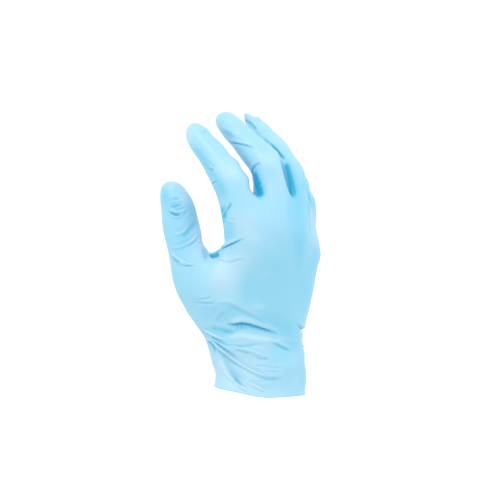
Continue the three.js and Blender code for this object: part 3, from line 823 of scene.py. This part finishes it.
def refine_near_folds(mesh):
    """Faces with two points near a fold, on the side that the fold is on, are cut in four."""
    points, normals = points_of(mesh)
    wanted = np.zeros(len(points), dtype=bool)
    for folds, places, _, _, weight in fold_maps(points, normals):
        widths = FINE_WIDTHS if folds is PICTURE_FOLDS else FINE_WIDTHS_ELSEWHERE
        for fold in folds:
            near = within(places, np.array(fold[5]), FINE_MARGIN) & (weight > FINE_WEIGHT)
            if near.any():
                signed, _ = distance_to(smooth_line(fold[5]), places[near])
                wanted[np.flatnonzero(near)] |= np.abs(signed) < min(widths * fold[2], FINE_REACH)
    bm = bmesh.new()
    bm.from_mesh(mesh)
    bm.verts.ensure_lookup_table()
    faces = [f for f in bm.faces if sum(wanted[v.index] for v in f.verts) >= 2]
    edges = list({e for f in faces for e in f.edges})
    bmesh.ops.subdivide_edges(bm, edges=edges, cuts=1, use_grid_fill=True)
    bm.to_mesh(mesh)
    bm.free()
    print("faces split:", len(faces), "faces now:", len(mesh.polygons))


refine_near_folds(outer)
for sheet in (outer, inner):
    start, start_normals = points_of(sheet)
    sheet.vertices.foreach_set("co", raise_rim(grab(swell(start, start_normals))).ravel())
    sheet.update()
outer_points, outer_normals = points_of(outer)
inner_points, inner_normals = points_of(inner)
outer_folded, outer_height = fold_film(outer_points, outer_normals)
inner_folded, inner_height = fold_film(inner_points, inner_normals)
reached = np.array([outer_height.min(), outer_height.max()]) / MM
print("folds reach", np.round(reached, 2).tolist(), "mm")

# %% [markdown]
# How pale the film is, and its painted light and shade
#
# Nitrile is dyed right through, so stretched film is paler and gathered film is deeper in
# colour. The same number also holds painted shade, deeper in the hollows of folds, in the gaps
# between the fingers and on sides turned from the light, and painted light, paler on ridges and
# on places that face the light. Each point gets one number for it: 0 is stretched thin or
# painted light, 0.5 is as dipped, and 1 is gathered or painted shade. It could be painted on the
# mesh. Here it comes from the folds' own height, from bell curves and from lines of painted
# shade, and it is stored with the mesh, so the colour stays put from every side.

# %% Stretched places, gathered places and places of painted light and shade, in pixels of the picture
# place, digit, where across and down, reach across and down, how crisp its edge is, change
# paler is stretched film or painted light, as on knuckles and places that face the light; deeper is
# gathered film or painted shade, as on the back, on sides turned from the light and in gaps
STRETCH_AND_PAINTED_LIGHT = [
    ("web of the thumb", "all", 223, 272, 17, 16, 1, -0.24),
    ("web, towards the index", "all", 242, 257, 13, 10, 1, -0.08),
    ("web, towards the thumb", "all", 207, 268, 8, 8, 1, 0.1),
    ("thumb's nail side", "thumb", 172, 204, 10, 14, 1, 0.11),
    ("thumb's tip", "thumb", 176, 183, 9, 6, 1, -0.12),
    ("thumb's near side", "all", 167, 236, 8, 22, 1, 0.08),
    ("thumb tip's near side", "thumb", 164, 196, 5, 9, 1, 0.18),
    ("all along the thumb", "all", 184, 226, 13, 40, 1, 0.08),
    ("thumb's far side", "thumb", 184, 193, 8, 13, 1, -0.28),
    ("thumb's sleeve", "all", 184, 242, 8, 10, 1, 0.12),
    ("thumb's root", "all", 201, 238, 8, 17, 1, -0.42),
    ("heel of the thumb", "all", 186, 292, 18, 24, 1, 0.06),
    ("outer edge of the heel", "all", 174, 276, 5, 14, 1, 0.08),
    ("index tip", "index", 189, 132, 4, 9, 1, -0.15),
    ("index knuckle", "all", 229, 171, 13, 10, 1, -0.18),
    ("back of the index bone", "all", 245, 225, 14, 15, 1, -0.13),
    ("below the index bone", "all", 254, 238, 8, 6, 1, -0.08),
    ("middle tip", "middle", 225, 131, 7, 5, 1, 0.1),
    ("middle, past its end joint", "middle", 240, 148, 12, 8, 1, -0.1),
    ("middle knuckle", "all", 269, 159, 9, 7, 1, -0.15),
    ("middle bone", "all", 272, 190, 6, 12, 1, -0.08),
    ("ring knuckle", "all", 292, 208, 8, 20, 1, 0.2),
    ("ring middle joint", "ring", 270, 143, 7, 6, 1, -0.1),
    ("little knuckle", "all", 303, 184, 9, 14, 1, 0.15),
    ("little finger's bone", "all", 303, 203, 6, 14, 1, 0.14),
    ("below the little finger", "all", 305, 232, 5, 24, 1, 0.08),
    ("little finger's edge", "all", 315, 206, 4, 12, 1, 0.24),
    ("edge of the glove", "all", 317, 259, 6, 15, 1, 0.14),
    ("little side of the palm", "all", 309, 294, 9, 30, 1, 0.1),
    ("little side of the back", "all", 299, 236, 6, 34, 2, 0.11),
    ("back of the glove", "all", 286, 284, 34, 52, 2, 0.14),
    ("back of the glove, thumb's side", "all", 247, 286, 8, 16, 1, 0.12),
    ("a flat spot", "all", 267, 275, 6, 4, 1, -0.07),
    ("a flat spot by the wrist", "all", 258, 306, 8, 3, 1, -0.15),
    ("above the wrist", "all", 212, 312, 13, 11, 1, 0.12),
    ("under the arch", "all", 234, 308, 14, 6, 1, 0.14),
    ("above the first lap", "all", 260, 322, 28, 9, 1, 0.12),
    ("beside the first lap", "all", 232, 331, 7, 4, 1, 0.09),
    ("between the laps", "all", 288, 330, 12, 8, 1, 0.12),
    ("beside the second lap", "all", 292, 345, 10, 9, 1, 0.12),
    ("slanting folds", "all", 238, 362, 20, 14, 1, -0.17),
    ("under the second lap", "all", 276, 355, 8, 11, 1, 0.1),
    ("near side of the cuff", "all", 226, 390, 16, 8, 1, -0.1),
    ("middle of the cuff", "all", 250, 384, 16, 12, 1, -0.18),
    ("little side of the cuff", "all", 292, 352, 12, 22, 2, 0.06),
    ("little edge of the cuff", "all", 306, 374, 7, 22, 2, 0.12),
    ("lower edge of the cuff", "all", 268, 394, 14, 5, 1, -0.08),
    ("index, at its side", "all", 223.5, 214, 4, 8, 2, 0.4),
    ("index, below the fold", "all", 229, 232, 6, 11, 2, 0.14),
    ("apex of the thumb's web", "all", 214.5, 255.5, 5.5, 3, 2, 0.5),
]
print("stretched and gathered places:", len(STRETCH_AND_PAINTED_LIGHT))

# %% Lines of painted shade, along which the film is coloured deeper
# place, digit, width, change, corners
# painted shade on sides of the fingers turned from the light, in the gaps between them and under folds
PAINTED_SHADE_LINES = [
    ("side of the index", "index", 5.0, 0.22,
     [(190.5, 140), (203, 157), (213, 173), (221, 188), (226, 206)]),
    ("side of the middle", "middle", 4.0, 0.24, [(230, 145), (237, 152), (245, 162), (252, 172)]),
    ("side of the ring", "ring", 1.6, 0.4,
     [(262, 136.5), (269, 142.5), (276, 149.5), (281, 155.5), (286, 162)]),
    ("ring, beside the middle", "ring", 3.8, 0.58,
     [(284.5, 159), (288, 170), (290.3, 179), (292, 188), (293.5, 200)]),
    ("ring, near its root", "palm", 3.0, 0.32, [(290, 176), (292.5, 188), (294, 202)]),
    ("middle, beside the index", "middle", 4.4, 0.68,
     [(251, 169.5), (255.5, 179), (258.8, 188), (262, 200)]),
    ("middle, near its root", "palm", 2.6, 0.5, [(256, 184), (259.5, 193), (262.5, 203)]),
    ("edge beside the little finger", "all", 1.2, 0.14, [(308.5, 190), (309, 203), (309, 216)]),
    ("under the web's fold", "all", 1.2, 0.4,
     [(208, 257), (213, 254), (219, 250.2), (233, 243.4), (246, 237.5)]),
    ("across the middle finger", "middle", 1.1, 0.35,
     [(229, 142.5), (236, 144), (244, 145.6), (257, 148.2)]),
    ("in the bend of the middle finger", "middle", 1.2, 0.35,
     [(251.8, 176), (253, 170), (256, 166), (262, 162)]),
    ("under the first lap", "all", 2.0, 0.1,
     [(224, 325.5), (235, 324), (242, 323.6), (259, 327.5), (283, 337)]),
]

# %% The tone of each point
AS_DIPPED = 0.5
# painted shade for each millimetre of a fold's hollow and painted highlight for each millimetre of
# its ridge, counted between the deepest and the palest height
FOLD_PAINTED_SHADE = 0.27
DEEPEST_FOLD = -1.6
PALEST_RIDGE = 0.8
SHADE_FADE = 0.2
TONE_FACING = (-0.2, 0.25)
INNER_TONE = 0.6


def film_tone_and_painted_light(points, normals, height):
    """As dipped, with painted shade in the hollows of folds and painted highlight on ridges, and
    each place's bell curve of stretch or painted light and shade, and each line's painted shade, on
    the side that the picture shows."""
    masks = digit_masks(points)
    pixels = on_photo(points)
    shown = smoothstep(*TONE_FACING, normals @ back)
    tone = np.zeros(len(points))
    for _, digit, x, y, wide, high, crisp, change in STRETCH_AND_PAINTED_LIGHT:
        far = square_distance(pixels, x, y, wide, high)
        tone += change * np.exp(-(far**crisp)) * masks[digit]
    for _, digit, width, change, corners in PAINTED_SHADE_LINES:
        signed, place = distance_to(smooth_line(corners), pixels)
        ends = smoothstep(0, SHADE_FADE, place) * smoothstep(0, SHADE_FADE, 1 - place)
        tone += change * np.exp(-((signed / width) ** 2)) * ends * masks[digit]
    # painted shade in the folds' hollows and painted highlight on their ridges
    folded = FOLD_PAINTED_SHADE * np.clip(height / MM, DEEPEST_FOLD, PALEST_RIDGE)
    return np.clip(AS_DIPPED - folded + tone * shown, 0.0, 1.0)


# tone of the outer face: stretch and gathers, with painted light and painted shade
outer_tone = film_tone_and_painted_light(outer_points, outer_normals, outer_height)
inner_tone = np.full(len(inner_points), INNER_TONE)
tones = [outer_tone.min(), outer_tone.mean(), outer_tone.max()]
print("tone of the outer face:", np.round(tones, 2).tolist())

# %% [markdown]
# Where the film is pushed together, as at the wrist, it also has wrinkles of a millimetre or two.
# Cut in the mesh, so many of them would double its faces. So they are bump in the material, and
# a second number stored with the mesh says where they show.

# %% Finely wrinkled places, in pixels of the picture
GATHERS_FACING = (0.0, 0.3)
# the wrist's band on the sides that the picture doesn't show, from its lower to its upper end
WRIST_GATHERS = 0.5
BAND_START = (10 * MM, 24 * MM)
BAND_END = (64 * MM, 48 * MM)
# place, digit, where across and down, reach across and down, how strongly it is gathered
GATHERED = [
    ("heel of the thumb", "all", 218, 336, 15, 9, 1.0),
    ("slanting folds", "all", 236, 352, 20, 12, 0.8),
    ("middle of the cuff", "all", 262, 372, 26, 13, 0.4),
    ("above the wrist", "all", 214, 314, 15, 10, 0.6),
    ("under the first lap", "all", 232, 330, 12, 5, 0.9),
    ("thumb's joint", "thumb", 176, 207, 9, 8, 0.8),
    ("thumb's root", "all", 184, 260, 10, 9, 0.5),
    ("index, at its side", "all", 226, 212, 6, 12, 0.6),
]


def film_gathers(points, normals):
    """How finely wrinkled the film is: bell curves on the picture, and a band at the wrist."""
    masks = digit_masks(points)
    pixels = on_photo(points)
    shown = smoothstep(*GATHERS_FACING, normals @ back)
    strength = np.zeros(len(points))
    for _, digit, x, y, wide, high, amount in GATHERED:
        far = square_distance(pixels, x, y, wide, high)
        strength += amount * np.exp(-far) * masks[digit]
    band = smoothstep(*BAND_START, points[:, 2]) * smoothstep(*BAND_END, points[:, 2])
    return np.clip(strength * shown + WRIST_GATHERS * band * (1 - shown), 0.0, 1.0)


outer_gathers = film_gathers(outer_points, outer_normals)
print("share of points with wrinkles:", round(float(np.mean(outer_gathers > 0.1)), 2))

# %% [markdown]
# Closing the film
#
# A real film is about 0.1 mm thick, with a rolled bead at the cuff's edge. Solidify could thicken
# one sheet, but its inner face would cross itself under deep folds. So the inner face is a second
# sheet, which lies a little further in, folds less finely and comes close at the bead.

# %% The inner face and the bead
FILM_AT_RIM = 0.4 * MM
FILM_INSIDE = 2.4 * MM
FILM_GROWS_OVER = 12 * MM
BEAD_RADIUS = 0.6 * MM
BEAD_STEPS = 6
BEAD_START = 10.0


def open_edges(bm):
    """The edges with a face on one side only."""
    return [e for e in bm.edges if e.is_boundary]


def rim_loop(bm):
    """The open edge's points in order, so that each is joined to the next."""
    loop = list(open_edges(bm)[0].verts)
    while True:
        last = loop[-1]
        step = [e.other_vert(last) for e in last.link_edges if e.is_boundary]
        onward = [v for v in step if v is not loop[-2]]
        if onward[0] is loop[0]:
            return loop
        loop.append(onward[0])


def add_bead(bm, loop):
    """Rings of faces beyond the rim, whose points are the loop. They lie on an arc about the
    middle of the wall: the bead's radius times cosine outwards and sine downwards."""
    order = np.array([v.index for v in loop])
    rim = outer_folded[order]
    out = outer_normals[order]
    tangent = np.roll(rim, -1, axis=0) - np.roll(rim, 1, axis=0)
    tangent /= np.linalg.norm(tangent, axis=1)[:, None]
    down = np.cross(out, tangent)
    down *= np.where(down[:, 2] > 0, -1.0, 1.0)[:, None]
    middle = rim - out * FILM_AT_RIM / 2
    for k in range(BEAD_STEPS):
        a = math.radians(BEAD_START + (180 - 2 * BEAD_START) * k / (BEAD_STEPS - 1))
        places = middle + BEAD_RADIUS * (out * math.cos(a) + down * math.sin(a))
        ring = [bm.verts.new(place) for place in places]
        for here, there, below, beyond in zip(loop, loop[1:] + loop[:1], ring, ring[1:] + ring[:1]):
            bm.faces.new([there, here, below, beyond])
        loop = ring


def add_inner_face(bm, rim_height):
    """The inner sheet, set in from where the folds put it, turned over and joined to the bead."""
    start = len(bm.verts)
    depth_share = smoothstep(0.0, FILM_GROWS_OVER, inner_folded[:, 2] - rim_height)
    depth = FILM_AT_RIM + (FILM_INSIDE - FILM_AT_RIM) * depth_share
    inner.vertices.foreach_set("co", (inner_folded - inner_normals * depth[:, None]).ravel())
    bm.from_mesh(inner)
    bm.verts.index_update()
    inside = [f for f in bm.faces if min(v.index for v in f.verts) >= start]
    bmesh.ops.reverse_faces(bm, faces=inside)
    bmesh.ops.bridge_loops(bm, edges=open_edges(bm))


def store(mesh, name, values):
    """One number for each of the mesh's points, which a material can read by its name."""
    mesh.attributes.new(name, "FLOAT", "POINT").data.foreach_set("value", values)


# %% One closed mesh
def glove_shell():
    """Outer face, bead and inner face as one mesh, with its points' tone and gathers."""
    outer.vertices.foreach_set("co", outer_folded.ravel())
    bm = bmesh.new()
    bm.from_mesh(outer)
    bm.verts.ensure_lookup_table()
    loop = rim_loop(bm)
    rim_height = outer_folded[[v.index for v in loop], 2].min()
    add_bead(bm, loop)
    inner_start = len(bm.verts)
    add_inner_face(bm, rim_height)
    print("points:", len(bm.verts), "faces:", len(bm.faces), "open edges:", len(open_edges(bm)))
    mesh = bpy.data.meshes.new("nitrile_film")
    bm.to_mesh(mesh)
    bm.free()
    tone = np.full(len(mesh.vertices), AS_DIPPED)
    tone[: len(outer_tone)] = outer_tone
    tone[inner_start : inner_start + len(inner_tone)] = inner_tone
    store(mesh, "film_tone_and_painted_light", tone)
    gathers = np.zeros(len(mesh.vertices))
    gathers[: len(outer_gathers)] = outer_gathers
    store(mesh, "film_gathers", gathers)
    return mesh


glove_mesh = glove_shell()
glove_mesh.polygons.foreach_set("use_smooth", np.ones(len(glove_mesh.polygons), dtype=bool))
glove = bpy.data.objects.new("nitrile_film", glove_mesh)
bpy.context.collection.objects.link(glove)
glove_mesh.calc_loop_triangles()
print("triangles:", len(glove_mesh.loop_triangles))

# %% [markdown]
# Nitrile
#
# Nitrile is a satin rubber with a fine grain, and small wrinkles where it is pushed together.
# Pictures of both could be painted and wrapped round the glove. Noise needs no picture and no
# wrapping: drawn out along the slanting folds, it gives the wrinkles, and as it is, the grain.

# %% Helpers for nodes
def math_node(nodes, operation, factor=1.0):
    """A Math node whose second input is a factor."""
    node = nodes.new("ShaderNodeMath")
    node.operation = operation
    node.inputs[1].default_value = factor
    return node


def noise_node(nodes, scale, detail):
    """A Noise node of a scale, with a number of finer layers."""
    node = nodes.new("ShaderNodeTexNoise")
    node.inputs["Scale"].default_value = scale
    node.inputs["Detail"].default_value = detail
    return node


# %% Grain and wrinkles of the film, as a group of nodes
# the wrinkles' fall from left to right in degrees, and their size
WRINKLE_SLOPE = 33.0
WRINKLE_LENGTH = 15 * MM
WRINKLE_PITCH = 2.1 * MM
WRINKLE_WARP = 0.3
MOTTLE_SCALE = 28.0
# heights in tenths of a millimetre, and changes of tone: painted shade in the wrinkles' hollows
# and painted highlight on their crests, and mottle
WRINKLE_HEIGHT = 9.0
GRAIN_HEIGHT = 0.2
WRINKLE_PAINTED_SHADE = 0.25
MOTTLE_TONE = 0.15


def wrinkle_noise(nodes, links, where):
    """Noise drawn out along the slanting folds, in the plane that faces the camera's place."""
    slope = math.radians(WRINKLE_SLOPE)
    along = right * math.cos(slope) - up * math.sin(slope)
    over = right * math.sin(slope) + up * math.cos(slope)
    drawn_out = nodes.new("ShaderNodeMapping")
    drawn_out.vector_type = "TEXTURE"
    turn = mathutils.Matrix((along, over, back)).transposed().to_euler()
    drawn_out.inputs["Rotation"].default_value = turn
    drawn_out.inputs["Scale"].default_value = (WRINKLE_LENGTH, WRINKLE_PITCH, WRINKLE_LENGTH)
    wrinkles = noise_node(nodes, 1.0, 2.0)
    wrinkles.inputs["Distortion"].default_value = WRINKLE_WARP
    links.new(where.outputs["Object"], drawn_out.inputs["Vector"])
    links.new(drawn_out.outputs["Vector"], wrinkles.inputs["Vector"])
    return wrinkles


def film_grain():
    """A group that puts out a height in tenths of a millimetre and a change of tone. Grain and
    mottle are noise all over, and wrinkles are there as far as Gathers says, with painted shade in
    their hollows and painted highlight on their crests."""
    group = bpy.data.node_groups.new("film_grain", "ShaderNodeTree")
    for name in ("Grain size", "Gathers"):
        group.interface.new_socket(name, in_out="INPUT", socket_type="NodeSocketFloat")
    for name in ("Height", "Tone"):
        group.interface.new_socket(name, in_out="OUTPUT", socket_type="NodeSocketFloat")
    nodes, links = group.nodes, group.links
    enter = nodes.new("NodeGroupInput")
    leave = nodes.new("NodeGroupOutput")
    where = nodes.new("ShaderNodeTexCoord")
    fine = noise_node(nodes, 1.0, 3.0)
    mottle = noise_node(nodes, MOTTLE_SCALE, 2.0)
    wrinkles = wrinkle_noise(nodes, links, where)
    gathered = math_node(nodes, "MULTIPLY")
    grain = math_node(nodes, "MULTIPLY", GRAIN_HEIGHT)
    height = math_node(nodes, "MULTIPLY_ADD", WRINKLE_HEIGHT)
    # noise is even about a half, so half of each change of tone is taken back
    mottled = math_node(nodes, "MULTIPLY_ADD", MOTTLE_TONE)
    mottled.inputs[2].default_value = -MOTTLE_TONE / 2
    # painted shade: deeper colour in the wrinkles' hollows, paler on their crests
    wrinkle_hollow_shade = math_node(nodes, "MULTIPLY_ADD", -WRINKLE_PAINTED_SHADE)
    balanced = math_node(nodes, "MULTIPLY_ADD", WRINKLE_PAINTED_SHADE / 2)
    links.new(where.outputs["Object"], fine.inputs["Vector"])
    links.new(where.outputs["Object"], mottle.inputs["Vector"])
    links.new(enter.outputs["Grain size"], fine.inputs["Scale"])
    links.new(enter.outputs["Gathers"], gathered.inputs[0])
    links.new(wrinkles.outputs["Fac"], gathered.inputs[1])
    links.new(gathered.outputs["Value"], height.inputs[0])
    links.new(fine.outputs["Fac"], grain.inputs[0])
    links.new(grain.outputs["Value"], height.inputs[2])
    links.new(height.outputs["Value"], leave.inputs["Height"])
    links.new(mottle.outputs["Fac"], mottled.inputs[0])
    links.new(gathered.outputs["Value"], wrinkle_hollow_shade.inputs[0])
    links.new(mottled.outputs["Value"], wrinkle_hollow_shade.inputs[2])
    links.new(enter.outputs["Gathers"], balanced.inputs[0])
    links.new(wrinkle_hollow_shade.outputs["Value"], balanced.inputs[2])
    links.new(balanced.outputs["Value"], leave.inputs["Tone"])
    return group


# %% [markdown]
# The surface itself is pale where the film is stretched and more saturated in folds, where
# light bounces between two walls of it. Transmission or subsurface light would give that too,
# but slowly and with noise in the render. So that light is painted, with the painted shade of
# folds, gaps and sides turned from the light and the painted light of ridges: a colour ramp over
# the stored tone gives them at once.

# %% The nitrile itself
GRAIN_SCALE = 900.0
BUMP_UNIT = 0.1 * MM
# colours from stretched thin or painted light, through as dipped and gathered, to the deepest
# painted shade in folds and gaps
NITRILE_TONES_AND_PAINTED_LIGHT = {
    0.0: (0.63, 0.82, 0.93, 1),
    0.5: (0.33, 0.64, 0.81, 1),
    0.85: (0.13, 0.54, 0.76, 1),
    1.0: (0.005, 0.38, 0.60, 1),
}


def film_number(nodes, name):
    """An Attribute node that reads one number stored with the mesh."""
    node = nodes.new("ShaderNodeAttribute")
    node.attribute_name = name
    return node


def nitrile(grain):
    """A Principled surface with a soft gloss, whose colour follows the film's tone and its painted
    light and shade.
    """
    material = bpy.data.materials.new("nitrile_blue")
    material.use_nodes = True
    nodes, links = material.node_tree.nodes, material.node_tree.links
    shader = nodes["Principled BSDF"]
    shader.inputs["Roughness"].default_value = 0.42
    shader.inputs["IOR"].default_value = 1.5
    shader.inputs["Sheen Weight"].default_value = 0.1
    shader.inputs["Sheen Roughness"].default_value = 0.4
    look = nodes.new("ShaderNodeGroup")
    look.node_tree = grain
    look.inputs["Grain size"].default_value = GRAIN_SCALE
    total = math_node(nodes, "ADD")
    ramp = nodes.new("ShaderNodeValToRGB")
    ramp.color_ramp.elements[0].color = NITRILE_TONES_AND_PAINTED_LIGHT[0.0]
    ramp.color_ramp.elements[1].color = NITRILE_TONES_AND_PAINTED_LIGHT[1.0]
    for place in sorted(NITRILE_TONES_AND_PAINTED_LIGHT)[1:-1]:
        ramp.color_ramp.elements.new(place).color = NITRILE_TONES_AND_PAINTED_LIGHT[place]
    bump = nodes.new("ShaderNodeBump")
    bump.inputs["Strength"].default_value = 1.0
    bump.inputs["Distance"].default_value = BUMP_UNIT
    links.new(film_number(nodes, "film_gathers").outputs["Fac"], look.inputs["Gathers"])
    links.new(look.outputs["Tone"], total.inputs[0])
    links.new(film_number(nodes, "film_tone_and_painted_light").outputs["Fac"], total.inputs[1])
    links.new(total.outputs["Value"], ramp.inputs["Fac"])
    links.new(ramp.outputs["Color"], shader.inputs["Base Color"])
    links.new(look.outputs["Height"], bump.inputs["Height"])
    links.new(bump.outputs["Normal"], shader.inputs["Normal"])
    print("material:", material.name, "with", len(nodes), "nodes")
    return material


glove_mesh.materials.append(nitrile(film_grain()))
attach(glove, "root")
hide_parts("glove_film")

# %% [markdown]
# Floor and light
#
# The photograph has a white ground and light from everywhere, a little more from the upper
# left. A room of lit panels could give that. A white world does most of it with less noise, a
# sun with a wide disc shades the film softly, and a dim lamp low on the right rounds its edge.

# %% Floor
FLOOR_HEIGHT = -90 * MM
FLOOR_HALF = 6.0
floor_corners = [(-1, -1), (1, -1), (1, 1), (-1, 1)]
floor_points = [(x * FLOOR_HALF, y * FLOOR_HALF, FLOOR_HEIGHT) for x, y in floor_corners]
floor_mesh = bpy.data.meshes.new("floor")
floor_mesh.from_pydata(floor_points, [], [(0, 1, 2, 3)])
floor = bpy.data.objects.new("floor", floor_mesh)
bpy.context.collection.objects.link(floor)
floor.visible_diffuse = False
floor.visible_glossy = False
paper = bpy.data.materials.new("white_paper")
paper.use_nodes = True
paper_look = paper.node_tree.nodes["Principled BSDF"].inputs
paper_look["Base Color"].default_value = (0.95, 0.95, 0.95, 1)
paper_look["Roughness"].default_value = 0.9
paper_look["Emission Color"].default_value = (1, 1, 1, 1)
paper_look["Emission Strength"].default_value = 0.25
floor_mesh.materials.append(paper)
print("floor at", round(FLOOR_HEIGHT / MM), "mm")

# %% White room
FILL_STRENGTH = 1.04
BACKDROP_STRENGTH = 1.05
world = bpy.data.worlds.new("white_room")
world.use_nodes = True
room = world.node_tree
backdrop = room.nodes.new("ShaderNodeBackground")
fill = room.nodes["Background"]
for white, strength in ((fill, FILL_STRENGTH), (backdrop, BACKDROP_STRENGTH)):
    white.inputs["Color"].default_value = (1.0, 1.0, 1.0, 1)
    white.inputs["Strength"].default_value = strength
ray = room.nodes.new("ShaderNodeLightPath")
either = room.nodes.new("ShaderNodeMixShader")
room.links.new(ray.outputs["Is Camera Ray"], either.inputs["Fac"])
room.links.new(fill.outputs["Background"], either.inputs[1])
room.links.new(backdrop.outputs["Background"], either.inputs[2])
room.links.new(either.outputs["Shader"], room.nodes["World Output"].inputs["Surface"])
bpy.context.scene.world = world
bpy.context.scene.view_settings.view_transform = "Standard"

# %% Sun and lamp
KEY_AZIMUTH, KEY_ELEVATION, KEY_STRENGTH = PHOTO_AZIMUTH - 38, 60, 0.85
KEY_SPREAD = 26
EDGE_AZIMUTH, EDGE_ELEVATION, EDGE_WATTS = PHOTO_AZIMUTH + 85, 12, 2.2
EDGE_DISTANCE, EDGE_SIZE = 1.2, 0.9
GLOVE_MIDDLE = np.array([0.0, 0.0, 0.1])


def add_light(name, kind, azimuth, elevation, energy):
    """A light that shines the way that the camera would look from there."""
    light = bpy.data.objects.new(name, bpy.data.lights.new(name, kind))
    light.data.energy = energy
    light.rotation_euler = (math.radians(90.0 - elevation), 0.0, math.radians(azimuth))
    bpy.context.collection.objects.link(light)
    return light


key = add_light("key", "SUN", KEY_AZIMUTH, KEY_ELEVATION, KEY_STRENGTH)
key.data.angle = math.radians(KEY_SPREAD)
edge = add_light("edge", "AREA", EDGE_AZIMUTH, EDGE_ELEVATION, EDGE_WATTS)
edge.data.size = EDGE_SIZE
_, _, towards_edge = camera_axes(EDGE_AZIMUTH, EDGE_ELEVATION)
edge.location = GLOVE_MIDDLE + towards_edge * EDGE_DISTANCE
print("lights:", key.name, "and", edge.name, "at", np.round(edge.location, 2).tolist())
